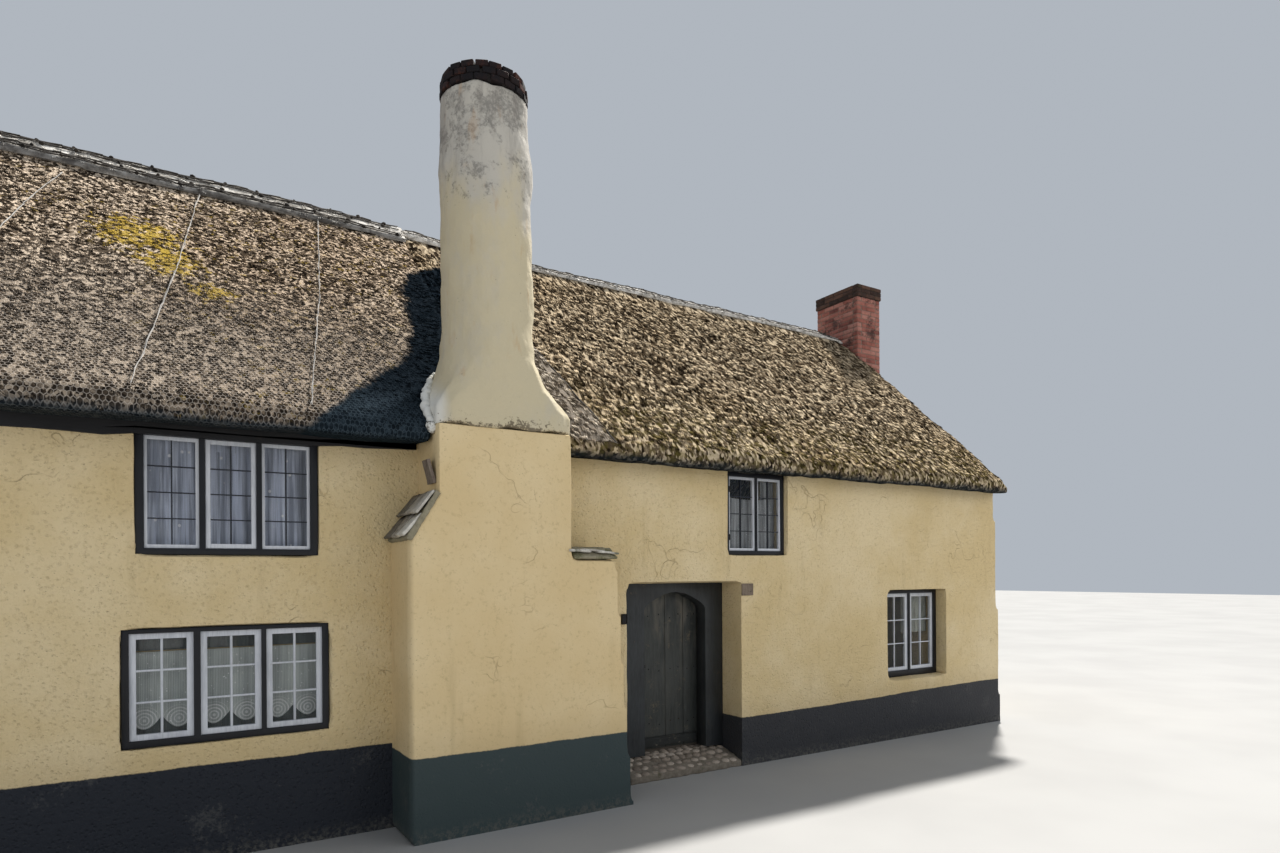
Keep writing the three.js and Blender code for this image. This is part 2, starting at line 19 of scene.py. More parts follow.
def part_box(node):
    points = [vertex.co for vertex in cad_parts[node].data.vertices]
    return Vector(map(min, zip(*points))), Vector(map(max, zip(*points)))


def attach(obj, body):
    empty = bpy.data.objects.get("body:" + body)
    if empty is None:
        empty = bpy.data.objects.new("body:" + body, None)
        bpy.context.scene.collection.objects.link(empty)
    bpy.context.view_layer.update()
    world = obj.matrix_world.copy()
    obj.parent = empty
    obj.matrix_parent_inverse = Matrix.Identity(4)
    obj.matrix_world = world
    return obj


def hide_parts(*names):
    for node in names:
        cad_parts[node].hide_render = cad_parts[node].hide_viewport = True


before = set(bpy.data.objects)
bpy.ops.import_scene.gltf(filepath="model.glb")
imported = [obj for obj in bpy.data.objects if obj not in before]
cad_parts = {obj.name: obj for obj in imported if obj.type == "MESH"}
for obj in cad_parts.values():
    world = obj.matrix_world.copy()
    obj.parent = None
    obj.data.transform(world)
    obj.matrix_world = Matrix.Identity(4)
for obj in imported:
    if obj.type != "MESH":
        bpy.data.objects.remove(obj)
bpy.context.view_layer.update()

DRAWN_X = 4.285  # how far the drawing's zero lies to the right of the row frame's middle
DRAWN_Y = 2.8  # how far the front wall's face lies in front of the row frame's middle
RIDGE_Y = 0.05  # the ridge line's place in the row frame
WALL_HEAD = 3.53  # the height from which the thatch hides the walls
BREAST_HEAD = 3.63  # the height of the chimney breast's top, where the flare starts
SHAFT_RIM = 6.62  # the height where the shaft swells out to its rim
CELL_PRIMES = np.array([73856093, 19349663, 83492791])  # these three scatter the seeded noise
SEED_PRIME = 2654435761
MIXING_PRIME = 1274126177
HOUSE, DOOR = "house", "front_door"

log = logging.getLogger("cottage")

Colour = tuple[float, float, float]
Vec3 = tuple[float, float, float]
Piece = bpy.types.Object


def at(x: float, y: float, z: float) -> Vector:
    """Returns a point of the drawing, whose X starts by the left windows and Y at the wall face."""
    return Vector((x - DRAWN_X, y - DRAWN_Y, z))


# Shader building


class Graph:
    """Short calls that add nodes to one node tree and link them."""

    def __init__(self, tree: bpy.types.NodeTree) -> None:
        """Keeps the tree that the nodes go into."""
        self.tree = tree

    def feed(self, node: bpy.types.Node, feeds: dict[str | int, object]) -> None:
        """Feeds a node's sockets.

        Args:
            node: The node.
            feeds: What goes into its sockets, by name or number: a value or a constant.
        """
        for key, given in feeds.items():
            socket = node.inputs[key]
            if isinstance(given, Value):
                self.tree.links.new(given.socket, socket)
            elif socket.type == "RGBA":
                socket.default_value = (*given[:3], 1.0)
            else:
                socket.default_value = given

    def add(self, kind: str, output: str | int, feeds: dict | None = None, **settings: object) -> "Value":
        """Adds a node.

        Args:
            kind: The node's type name, after ShaderNode.
            output: Which of its outputs is wanted, by name or number.
            feeds: What goes into its sockets.
            settings: The node's own options.

        Returns:
            The wanted output.
        """
        node = self.tree.nodes.new("ShaderNode" + kind)
        for key, setting in settings.items():
            setattr(node, key, setting)
        self.feed(node, feeds or {})
        return Value(self, node.outputs[output])

    def place(self) -> "Value":
        """Returns the surface's own place in metres."""
        return self.add("TexCoord", "Object")

    def attribute(self, name: str) -> "Value":
        """Returns what a piece carries for each of its points."""
        return self.add("Attribute", "Fac", attribute_name=name)

    def math(self, operation: str, a: object, b: object = 0.0) -> "Value":
        """Returns the result of one sum on two values."""
        return self.add("Math", 0, {0: a, 1: b}, operation=operation)

    def vector(self, operation: str, *given: object, output: str = "Vector") -> "Value":
        """Returns the result of one sum on vectors."""
        return self.add("VectorMath", output, dict(enumerate(given)), operation=operation)

    def mix(self, factor: object, a: object, b: object, how: str = "MIX") -> "Value":
        """Returns colour a with colour b laid over it."""
        return self.add("Mix", 2, {0: factor, 6: a, 7: b}, data_type="RGBA", blend_type=how)

    def bump(self, height: object, strength: float, distance: float) -> "Value":
        """Returns a normal raised by height."""
        return self.add("Bump", "Normal", {"Height": height, "Strength": strength, "Distance": distance})


class Value:
    """One output of a node, to be used in sums or fed into further nodes."""

    def __init__(self, graph: Graph, socket: bpy.types.NodeSocket) -> None:
        """Keeps the graph and the output."""
        self.graph, self.socket = graph, socket

    def __add__(self, other: object) -> "Value":
        """Adds a value or a number."""
        return self.graph.math("ADD", self, other)

    def __sub__(self, other: object) -> "Value":
        """Takes a value or a number away."""
        return self.graph.math("SUBTRACT", self, other)

    def __rsub__(self, other: object) -> "Value":
        """Takes this value away from a number."""
        return self.graph.math("SUBTRACT", other, self)

    def __mul__(self, other: object) -> "Value":
        """Multiplies by a value or a number."""
        return self.graph.math("MULTIPLY", self, other)

    def __abs__(self) -> "Value":
        """Drops the sign."""
        return self.graph.math("ABSOLUTE", self)

    def stretched(self, scale: Vec3, turn: Vec3 = (0, 0, 0)) -> "Value":
        """Returns the vector turned and then scaled on each axis.

        Args:
            scale: How many times closer together things lie along each axis.
            turn: A turn about each axis, in radians.

        Returns:
            The stretched place.
        """
        turned = self
        if any(turn):
            turned = self.graph.add("Mapping", "Vector", {"Vector": self, "Rotation": turn})
        return self.graph.add("Mapping", "Vector", {"Vector": turned, "Scale": scale})

    def noise(self, scale: object, detail: float = 3.0, rough: float = 0.55) -> "Value":
        """Returns soft noise from 0 to 1."""
        feeds = {"Vector": self, "Scale": scale, "Detail": detail, "Roughness": rough}
        return self.graph.add("TexNoise", "Fac", feeds)

    def cells(self, scale: float, feature: str = "F1") -> "Value":
        """Returns the distance to scattered points, or to the edges between their cells."""
        return self.graph.add("TexVoronoi", "Distance", {"Vector": self, "Scale": scale}, feature=feature)

    def cell_values(self) -> "Value":
        """Returns one random value from 0 to 1 for each cell of a scattered pattern."""
        return self.graph.add("TexVoronoi", "Color", {"Vector": self, "Scale": 1.0}).axis("X")

    def band(self, low: object, high: object, start: float = 0.0, end: float = 1.0) -> "Value":
        """Returns value eased from start to end as it goes from low to high."""
        feeds = {"Value": self, "From Min": low, "From Max": high, "To Min": start, "To Max": end}
        return self.graph.add("MapRange", "Result", feeds, interpolation_type="SMOOTHSTEP")

    def tones(self, stops: Sequence[tuple[float, Colour]]) -> "Value":
        """Returns a colour picked along a ramp of stops.

        Args:
            stops: Pairs of a value and the colour that it gets.

        Returns:
            The colour.
        """
        picked = self.graph.add("ValToRGB", "Color", {"Fac": self})
        ramp = picked.socket.node.color_ramp
        while len(ramp.elements) < len(stops):
            ramp.elements.new(0.5)
        for element, (place, colour) in zip(ramp.elements, stops):
            element.position = place
            element.color = (*colour, 1.0)
        return picked

    def axis(self, name: str) -> "Value":
        """Returns one axis of a vector."""
        return self.graph.add("SeparateXYZ", name, {"Vector": self})

    def distance(self, spot: Sequence[float]) -> "Value":
        """Returns how far this place lies from a spot."""
        return self.graph.vector("DISTANCE", self, tuple(spot), output="Value")

    def grime(self, blotch: float, speck: float, cover: object) -> "Value":
        """Returns the mask of the shared grime at this place.

        Args:
            blotch: The blotches to a metre.
            speck: The specks to a metre.
            cover: The share of the surface that it covers.

        Returns:
            The mask, 1 in the grime.
        """
        feeds = {"Vector": self, "Blotch": blotch, "Speck": speck, "Cover": cover}
        return self.graph.add("Group", "Mask", feeds, node_tree=Effects.grime())


def new_material(name: str, **constants: object) -> tuple[bpy.types.Material, Graph, bpy.types.Node]:
    """Starts a material.

    Args:
        name: The material's name.
        constants: Plain values for the shader's sockets, with _ for a space in their names.

    Returns:
        The material, the graph of its tree, and its shader node.
    """
    material = bpy.data.materials.new(name)
    material.use_nodes = True
    shader = material.node_tree.nodes["Principled BSDF"]
    for key, value in constants.items():
        shader.inputs[key.replace("_", " ")].default_value = value
    return material, Graph(material.node_tree), shader


class Effects:
    """Shader groups that more than one finish uses, each built once."""

    _built: dict[str, bpy.types.NodeTree] = {}

    @classmethod
    def _group(
        cls, name: str, inputs: dict[str, float | None], output: str, made: Callable[[Graph, dict], Value]
    ) -> bpy.types.NodeTree:
        """Builds a group when it is first used.

        Args:
            name: The group's name.
            inputs: Its inputs and their usual values, None for a place.
            output: Its output's name.
            made: Takes the graph and the inputs, and returns what the group puts out.

        Returns:
            The group.
        """
        if name in cls._built:
            return cls._built[name]
        tree = cls._built[name] = bpy.data.node_groups.new(name, "ShaderNodeTree")
        for key, value in inputs.items():
            kind = "NodeSocketVector" if value is None else "NodeSocketFloat"
            socket = tree.interface.new_socket(key, in_out="INPUT", socket_type=kind)
            if value is not None:
                socket.default_value = value
        tree.interface.new_socket(output, in_out="OUTPUT", socket_type="NodeSocketFloat")
        graph = Graph(tree)
        given = tree.nodes.new("NodeGroupInput").outputs
        result = made(graph, {key: Value(graph, given[key]) for key in inputs})
        graph.feed(tree.nodes.new("NodeGroupOutput"), {output: result})
        return tree

    @classmethod
    def grain(cls) -> bpy.types.NodeTree:
        """Streaks that run along one axis, as of straw or wood fibres."""

        def streaks(graph: Graph, given: dict[str, Value]) -> Value:
            """Returns fine streaks over coarse ones."""
            fine = given["Vector"].noise(given["Fine"], 2.0, 0.6)
            return fine * 0.55 + given["Vector"].noise(given["Coarse"], 3.0, 0.55) * 0.45

        return cls._group("grain", {"Vector": None, "Fine": 90.0, "Coarse": 18.0}, "Streaks", streaks)

    @classmethod
    def grime(cls) -> bpy.types.NodeTree:
        """Blotches broken up by specks, as of dirt, moss or flaking paint."""

        def mask(graph: Graph, given: dict[str, Value]) -> Value:
            """Returns 1 where blotches and specks together pass the cover's level.

            Args:
                graph: The graph of the group's tree.
                given: The group's inputs.

            Returns:
                The mask.
            """
            blotch = given["Vector"].noise(given["Blotch"], 5.0, 0.62)
            mixed = blotch * 0.68 + given["Vector"].noise(given["Speck"], 3.0, 0.7) * 0.32
            level = 1.0 - given["Cover"]
            return mixed.band(level, level + 0.09)

        inputs = {"Vector": None, "Blotch": 1.4, "Speck": 42.0, "Cover": 0.5}
        return cls._group("grime", inputs, "Mask", mask)

    @classmethod
    def netting(cls) -> bpy.types.NodeTree:
        """Six-sided wire netting on the X-Y plane of its vector, whose unit is one mesh."""
        cell = (1.0, math.sqrt(3.0), 1.0)
        half = tuple(side / 2 for side in cell)

        def wires(graph: Graph, given: dict[str, Value]) -> Value:
            """Returns 1 on the wires and 0 in the meshes.

            Args:
                graph: The graph of the group's tree.
                given: The group's inputs.

            Returns:
                The mask.
            """

            def outer(offset: Vec3) -> Value:
                """Returns how near the mesh's edge a point of one crossed grid lies, 0.5 at the edge.

                Args:
                    offset: How far this grid is moved from the first one.

                Returns:
                    The nearness.
                """
                moved = graph.vector("ADD", given["Vector"], offset)
                centred = graph.vector("SUBTRACT", graph.vector("WRAP", moved, cell, (0.0, 0.0, 0.0)), half)
                plain = graph.vector("ABSOLUTE", graph.vector("MULTIPLY", centred, (1.0, 1.0, 0.0)))
                slant = (0.5, math.sqrt(0.75), 0.0)
                slanted = graph.vector("DOT_PRODUCT", plain, slant, output="Value")
                return graph.math("MAXIMUM", slanted, plain.axis("X"))

            nearer = graph.math("MINIMUM", outer((0.0, 0.0, 0.0)), outer(half))
            return nearer.band(0.5 - given["Wire"], 0.49)

        return cls._group("netting", {"Vector": None, "Wire": 0.1}, "Mask", wires)


# Finishes


@dataclass(frozen=True)
class Limewash:
    """Cream limewash over rough render, with a band of dark paint along the foot."""

    name: str
    cream: Colour = (0.60, 0.47, 0.255)
    pale: Colour = (0.68, 0.56, 0.35)
    stain: Colour = (0.36, 0.27, 0.14)
    foot: Colour = (0.018, 0.021, 0.028)
    foot_right: Colour = (0.034, 0.035, 0.039)
    rough: float = 1.0
    pimples: float = 0.015
    foot_line: tuple[float, float] = (0.755, 0.56)  # heights left and right of the doorway

    def make(self) -> bpy.types.Material:
        """Builds the material.

        Returns:
            The material.
        """
        material, graph, shader = new_material(self.name, Specular_IOR_Level=0.25)
        place = graph.place()
        x, z = place.axis("X"), place.axis("Z")
        cloud = place.noise(0.9, 5.0, 0.6)
        colour = graph.mix(cloud.band(0.35, 0.7), self.cream, self.pale)
        fine = place.noise(26.0, 4.0, 0.7)
        colour = graph.mix(fine.band(0.52, 0.75, 0.0, 0.45), colour, self.stain)
        streaks = place.stretched((5.0, 5.0, 0.6)).noise(1.0, 4.0, 0.6)
        colour = graph.mix(streaks.band(0.56, 0.78, 0.0, 0.35), colour, self.stain)
        specks = place.stretched((1.0, 1.0, 1.6)).cells(21.0)
        chosen = specks.band(0.16, 0.06) * cloud.band(0.46, 0.6)
        colour = graph.mix(chosen * 0.55, colour, (0.16, 0.13, 0.09))
        swirled = graph.vector("ADD", place, graph.add("TexNoise", "Color", {"Vector": place, "Scale": 3.0}))
        crack = swirled.cells(0.9, "DISTANCE_TO_EDGE")
        hairline = crack.band(0.006, 0.001) * place.noise(1.3).band(0.55, 0.65)
        colour = graph.mix(hairline * 0.5, colour, self.stain)
        lumps = place.noise(38.0, 4.0, 0.6) * self.rough
        pits = place.cells(30.0).band(0.05, 0.42) * (0.6 * self.rough)
        height = lumps + pits - hairline

        left, right = self.foot_line
        line = x.band(0.45, 0.55, left, right)
        line = line + x.band(1.6, 6.8) * 0.08
        line = line + place.noise(2.6, 3.0) * 0.03
        ragged = place.noise(45.0, 2.0) * 0.012
        line = line + ragged
        under = z.band(line, line - 0.012)
        dark = graph.mix(x.band(0.45, 0.55), self.foot, self.foot_right)
        worn = place.grime(2.2, 30.0, 0.44)
        dark = graph.mix(worn * 0.5, dark, (0.085, 0.085, 0.082))
        splash = z.band(0.16, 0.0) * fine.band(0.42, 0.62)
        dark = graph.mix(splash * 0.6, dark, (0.12, 0.115, 0.10))
        dusty = z.band(line + 0.30, line)
        colour = graph.mix(dusty * 0.22, colour, self.stain)
        colour = graph.mix(under, colour, dark)
        graph.feed(shader, {
            "Base Color": colour,
            "Roughness": under.band(0.0, 1.0, 0.93, 0.62),
        })
        normal = graph.bump(height, 0.75, self.pimples)
        graph.feed(shader, {"Normal": normal})
        return material


@dataclass(frozen=True)
class ShaftWash:
    """Weathered off-white limewash of the tall chimney, with dark streaks below its rim."""

    name: str = "shaft_wash"
    white: Colour = (0.47, 0.445, 0.395)
    cream: Colour = (0.53, 0.465, 0.32)
    fresh: Colour = (0.66, 0.66, 0.63)
    algae: Colour = (0.105, 0.102, 0.095)

    def make(self) -> bpy.types.Material:
        """Builds the material.

        Returns:
            The material.
        """
        material, graph, shader = new_material(self.name, Specular_IOR_Level=0.25)
        place = graph.place()
        z = place.axis("Z")
        patches = place.stretched((1.6, 1.6, 0.8)).noise(1.2, 5.0, 0.6)
        height = z + (patches - 0.5) * 3.2
        colour = graph.mix(height.band(5.1, 6.1), self.cream, self.white)
        colour = graph.mix(patches.band(0.5, 0.72, 0.0, 0.6), colour, self.white)
        broken = place.noise(30.0, 5.0, 0.72)
        cover = z.band(4.9, 6.35, 0.30, 0.53)
        weathered = place.grime(3.4, 24.0, cover)
        weathered = weathered * broken.band(0.38, 0.58, 0.35, 1.0)
        colour = graph.mix(weathered * 0.62, colour, self.algae)
        streak = place.stretched((7.0, 7.0, 0.7)).noise(1.0, 6.0, 0.66)
        dirt = (streak + z.band(4.6, 6.5, -0.13, 0.07)).band(0.52, 0.72)
        colour = graph.mix(dirt * 0.42, colour, (0.17, 0.15, 0.135))
        rust = place.stretched((5.0, 5.0, 1.4)).noise(1.7, 5.0).band(0.60, 0.72)
        colour = graph.mix(rust * 0.30, colour, (0.42, 0.24, 0.10))
        x = place.axis("X")
        corner = x.band(-2.06, -2.17) * z.band(4.45, 4.25)
        colour = graph.mix(corner * 0.8, colour, self.fresh)
        chipped = place.distance(at(2.86, -0.64, 3.66))
        chips = chipped.band(0.30, 0.08) * z.band(3.74, 3.66)
        edge = z.band(3.648, 3.632, 0.0, 0.12)
        hem = (broken + (edge + chips * 0.13)).band(0.60, 0.66)
        hem = hem * z.band(3.76, 3.70)
        colour = graph.mix(hem * 0.75, colour, (0.075, 0.055, 0.038))
        spots = place.cells(17.0).band(0.12, 0.05)
        spots = spots * place.noise(3.4).band(0.52, 0.62)
        colour = graph.mix(spots * 0.7, colour, self.algae)
        graph.feed(shader, {"Base Color": colour})
        shader.inputs["Roughness"].default_value = 0.9
        relief = place.noise(16.0, 5.0, 0.6) + broken * 0.5
        graph.feed(shader, {"Normal": graph.bump(relief, 0.6, 0.012)})
        return material


@dataclass(frozen=True)
class Straw:
    """Weathered straw, on the body of the thatch, on its loose tufts and on the ridge."""

    name: str
    dark: Colour
    mid: Colour
    light: Colour
    lichen: Colour = (0.50, 0.35, 0.06)
    lichen_at: tuple[tuple[Vec3, float], ...] = ()  # the middle and reach of each patch
    moss: float = 0.0
    netted: bool = False
    slope: float = 43.5
    grain: tuple[float, float] = (42.0, 27.0)  # straw ends to a metre, along the eaves and up the slope
    shaded_edge: float = 0.0  # how far from the ridge line the band of painted shade along the roll's lower edge lies
    shaded: bool = False  # whether the piece carries a shade of its own for each tuft

    def make(self) -> bpy.types.Material:
        """Builds the material.

        Returns:
            The material.
        """
        material, graph, shader = new_material(self.name, Specular_IOR_Level=0.0, Roughness=0.95)
        place = graph.place()
        x, y, z = (place.axis(name) for name in "XYZ")
        away = abs(y - RIDGE_Y)
        folded = graph.add("CombineXYZ", 0, {0: x, 1: away * -1.0, 2: z})
        flat = folded.stretched((1.0, 1.0, 1.0), (-math.radians(self.slope), 0.0, 0.0))
        across, up = self.grain
        ends = flat.stretched((across, up, across)).cell_values()
        fine = flat.stretched((95.0, 26.0, 95.0)).noise(1.0, 3.0, 0.65)
        clumps = flat.stretched((10.0, 6.0, 10.0)).noise(1.0, 4.0, 0.62)
        value = ends * 0.46 + fine * 0.30
        value = value + clumps * 0.24
        if self.shaded:
            shade = graph.attribute("shade")
            value = value * 0.35 + shade * 0.65
            colour = value.tones(((0.24, self.dark), (0.50, self.mid), (0.76, self.light)))
        else:
            colour = value.tones(((0.32, self.dark), (0.50, self.mid), (0.68, self.light)))
        wide = place.noise(0.55, 4.0, 0.6)
        colour = graph.mix(wide.band(0.42, 0.68, 0.0, 0.35), colour, self.light, "MULTIPLY")
        colour = self._grown(graph, place, wide, ends, colour)
        if self.shaded_edge:
            # Painted shade: a dark band along the roll's lower edge.
            rim = away.band(self.shaded_edge - 0.02, self.shaded_edge + 0.02)
            colour = graph.mix(rim * 0.72, colour, (0.035, 0.033, 0.036))
        if self.netted:
            mesh = flat.stretched((27.0, 27.0, 0.0))
            wires = graph.add("Group", "Mask", {"Vector": mesh, "Wire": 0.13}, node_tree=Effects.netting())
            near_eave = z.band(5.4, 4.3, 0.08, 1.0)
            hollow = (1.0 - wires) * near_eave
            colour = graph.mix(hollow * 0.58, colour, (0.020, 0.017, 0.014))
            colour = graph.mix(
                wires * near_eave * 0.72, colour, (0.44, 0.39, 0.34)
            )
            value = value + wires * 0.4
            meshed = wires * 0.75
        else:
            meshed = 0.0
        # Painted shadow: where a piece is marked, the straw turns blue-black, standing for the shade beside
        # the front chimney and under the eaves; lower down it is lighter and bluer, and the netting's wires
        # show pale in it.
        painted_shade = graph.attribute("painted_shade")
        shadowy = graph.mix(ends.band(0.3, 0.9), (0.0035, 0.0058, 0.0085), (0.009, 0.014, 0.020))
        low_shadow = graph.mix(ends.band(0.3, 0.9), (0.009, 0.014, 0.019), (0.024, 0.036, 0.047))
        foot = z.band(4.05, 3.65)
        shadowy = graph.mix(foot, shadowy, low_shadow)
        shadowy = graph.mix(meshed, shadowy, graph.mix(foot, (0.016, 0.024, 0.032), (0.055, 0.078, 0.098)))
        colour = graph.mix(painted_shade * 0.995, colour, shadowy)
        graph.feed(shader, {
            "Base Color": colour,
            "Normal": graph.bump(value, 1.0, 0.016),
        })
        return material

    def _grown(self, graph: Graph, place: Value, wide: Value, ends: Value, colour: Value) -> Value:
        """Adds the lichen patches and the moss low on the roof.

        Args:
            graph: The material's graph.
            place: The surface's own place.
            wide: Wide noise that breaks up what grows.
            ends: The pattern of straw ends.
            colour: The straw's colour.

        Returns:
            The colour with what grows on it.
        """
        speck = place.noise(13.0, 4.0, 0.7)
        for middle, size in self.lichen_at:
            near = place.distance(middle).band(size, size * 0.15)
            patch = (speck + near * 0.22).band(0.61, 0.69)
            patch = patch * near.band(0.02, 0.3)
            patch = patch * ends.band(0.18, 0.42, 0.15, 1.0)
            colour = graph.mix(patch * 0.88, colour, self.lichen)
        if self.lichen_at:
            stray = speck.band(0.59, 0.66) * wide.band(0.44, 0.56)
            colour = graph.mix(stray * 0.55, colour, self.lichen)
        if self.moss:
            low = place.axis("Z").band(4.7, 3.6)
            green = speck.band(0.42, 0.62) * low
            colour = graph.mix(green * self.moss, colour, (0.20, 0.165, 0.045))
        return colour


@dataclass(frozen=True)
class Paint:
    """Brushed paint on timber, with grain under it and bare, flaked places."""

    name: str
    colour: Colour
    worn: Colour
    cover: float = 0.40
    along: Vec3 = (1.0, 1.0, 0.08)
    gloss: float = 0.5
    blotch: float = 5.0
    depth: float = 0.0025
    stain: Colour | None = None  # the colour of pale streaks in the weathered upper part

    def make(self) -> bpy.types.Material:
        """Builds the material.

        Returns:
            The material.
        """
        material, graph, shader = new_material(self.name, Specular_IOR_Level=0.35)
        place = graph.place()
        feeds = {"Vector": place.stretched(self.along), "Fine": 150.0, "Coarse": 40.0}
        grain = graph.add("Group", "Streaks", feeds, node_tree=Effects.grain())
        flaked = place.grime(self.blotch, 60.0, self.cover)
        tone = graph.mix(grain.band(0.35, 0.65, 0.0, 0.5), self.colour, self.colour, "MULTIPLY")
        cloudy = place.noise(3.0, 4.0).band(0.3, 0.75, 0.0, 0.35)
        tone = graph.mix(cloudy, tone, tuple(min(1.0, c * 1.35 + 0.006) for c in self.colour))
        if self.stain:
            streaks = place.stretched((1.0, 1.0, 0.22)).noise(8.0, 5.0).band(0.46, 0.68)
            high = place.axis("Z").band(1.15, 1.85, 0.15, 0.85)
            tone = graph.mix(streaks * high, tone, self.stain)
        colour = graph.mix(flaked * grain.band(0.38, 0.55), tone, self.worn)
        graph.feed(shader, {
            "Base Color": colour,
            "Roughness": flaked.band(0.0, 1.0, self.gloss, 0.9),
        })
        height = grain - flaked * 0.5
        graph.feed(shader, {"Normal": graph.bump(height, 0.5, self.depth)})
        return material


@dataclass(frozen=True)
class Masonry:
    """Fired clay, slate, mortar or stone, mottled from piece to piece and partly overgrown."""

    name: str
    tones: tuple[Colour, Colour, Colour]
    growth: Colour = (0.02, 0.017, 0.015)
    cover: float = 0.42
    size: float = 14.0
    depth: float = 0.006
    roughness: float = 0.9

    def make(self) -> bpy.types.Material:
        """Builds the material.

        Returns:
            The material.
        """
        material, graph, shader = new_material(
            self.name, Specular_IOR_Level=0.25, Roughness=self.roughness
        )
        place = graph.place()
        mottle = place.noise(self.size, 5.0, 0.65)
        shade = graph.attribute("shade")
        value = mottle * 0.6 + shade * 0.4
        first, second, third = self.tones
        colour = value.tones(((0.2, first), (0.45, second), (0.75, third)))
        grown = place.grime(3.2, 38.0, self.cover)
        colour = graph.mix(grown * 0.8, colour, self.growth)
        graph.feed(shader, {
            "Base Color": colour,
            "Normal": graph.bump(mottle, 0.7, self.depth),
        })
        return material


@dataclass(frozen=True)
class OldGlass:
    """Old window glass: clear, a little uneven, with a grey-blue sheen."""

    name: str = "old_glass"
    tint: Colour = (0.035, 0.045, 0.055)
    alpha: float = 0.12

    def make(self) -> bpy.types.Material:
        """Builds the material.

        Returns:
            The material.
        """
        material, graph, shader = new_material(
            self.name, Specular_IOR_Level=0.9, Alpha=self.alpha, IOR=1.5
        )
        place = graph.place()
        film = place.noise(5.0, 4.0, 0.6)
        colour = graph.mix(film.band(0.35, 0.75, 0.0, 0.6), self.tint, (0.10, 0.11, 0.12))
        graph.feed(shader, {
            "Base Color": colour,
            "Roughness": film.band(0.3, 0.8, 0.04, 0.16),
            "Normal": graph.bump(place.noise(7.0, 1.0), 0.25, 0.004),
        })
        return material


@dataclass(frozen=True)
class Net:
    """Thin net: painted shade in the hollows between its pleats, a sprinkling of white dots and, for lace,
    rings above each scallop.
    """

    name: str
    colour: Colour
    alpha: tuple[float, float] = (0.45, 0.95)
    dots: float = 9.0
    weave: float = 260.0
    fold_shade: float = 0.6  # how much painted shade darkens the hollows between the pleats
    ringed: bool = False

    def make(self) -> bpy.types.Material:
        """Builds the material.

        Returns:
            The material.
        """
        material, graph, shader = new_material(self.name, Roughness=0.9)
        cloth = graph.add("UVMap", "UV", uv_map="cloth")
        rows = graph.add("TexWave", "Fac", {"Vector": cloth, "Scale": self.weave / 10, "Distortion": 0.4})
        dots = cloth.cells(self.dots).band(0.15, 0.09)
        # Painted shade: the cloth darkens in soft vertical bands, as in the hollows between pleats.
        fold_shade = cloth.stretched((15.0, 0.8, 1.0)).noise(1.0, 3.0, 0.62)
        white = tuple(min(1.0, c * 1.6 + 0.1) for c in self.colour)
        hollow = tuple(c * 0.30 for c in self.colour)
        colour = graph.mix(fold_shade.band(0.60, 0.38, 0.0, self.fold_shade), self.colour, hollow)
        colour = graph.mix(dots * 0.9, colour, white)
        if self.ringed:
            ring = graph.add("UVMap", "UV", uv_map="rings")
            reach = graph.vector("LENGTH", ring, output="Value")
            waves = graph.math("SINE", reach * (2 * math.pi / 0.026))
            lines = waves.band(0.1, 0.8) * reach.band(0.115, 0.10)
            colour = graph.mix(lines * 0.7, colour, white)
        graph.feed(shader, {"Base Color": colour})
        low, high = self.alpha
        cover = graph.math("MAXIMUM", rows.band(0.2, 0.8, low, high), dots)
        graph.feed(shader, {"Alpha": cover})
        return material


@dataclass(frozen=True)
class Iron:
    """Blackened iron with a little rust."""

    name: str = "black_iron"
    colour: Colour = (0.018, 0.018, 0.019)
    rust: Colour = (0.09, 0.035, 0.014)

    def make(self) -> bpy.types.Material:
        """Builds the material.

        Returns:
            The material.
        """
        material, graph, shader = new_material(self.name, Metallic=0.6)
        place = graph.place()
        worn = place.grime(14.0, 90.0, 0.46)
        graph.feed(shader, {
            "Base Color": graph.mix(worn, self.colour, self.rust),
            "Roughness": worn.band(0.0, 1.0, 0.5, 0.9),
        })
        hammered = place.noise(60.0, 3.0)
        graph.feed(shader, {"Normal": graph.bump(hammered, 0.5, 0.002)})
        return material


# Mesh work


def deselect() -> None:
    """Deselects everything, because an operator acts on all that is selected."""
    for other in bpy.context.selected_objects:
        other.select_set(False)


def choose(piece: Piece) -> Piece:
    """Makes the piece the only selected and active one, so that operators act on it alone.

    Args:
        piece: The piece.

    Returns:
        The piece.
    """
    deselect()
    piece.select_set(True)
    bpy.context.view_layer.objects.active = piece
    return piece


def settle(piece: Piece) -> Piece:
    """Puts the piece's place, turn and scale into its mesh."""
    choose(piece)
    bpy.ops.object.transform_apply(location=True, rotation=True, scale=True)
    return piece


def primitive(operator: Callable, **settings: object) -> Piece:
    """Adds one of Blender's own shapes, with nothing else selected.

    Args:
        operator: What adds it.
        settings: Its size and place.

    Returns:
        The new piece.
    """
    deselect()
    operator(**settings)
    return bpy.context.active_object


def linked(name: str, data: bpy.types.ID) -> Piece:
    """Puts a mesh, curve, lamp or camera into the scene."""
    made = bpy.data.objects.new(name, data)
    bpy.context.scene.collection.objects.link(made)
    return made


def subdivided(piece: Piece, cuts: int, **settings: object) -> Piece:
    """Cuts each side of a piece into smaller faces.

    Args:
        piece: The piece.
        cuts: The number of cuts across each side.
        settings: The operator's other options.

    Returns:
        The piece.
    """
    choose(piece)
    bpy.ops.object.mode_set(mode="EDIT")
    bpy.ops.mesh.select_all(action="SELECT")
    bpy.ops.mesh.subdivide(number_cuts=cuts, **settings)
    bpy.ops.object.mode_set(mode="OBJECT")
    return piece


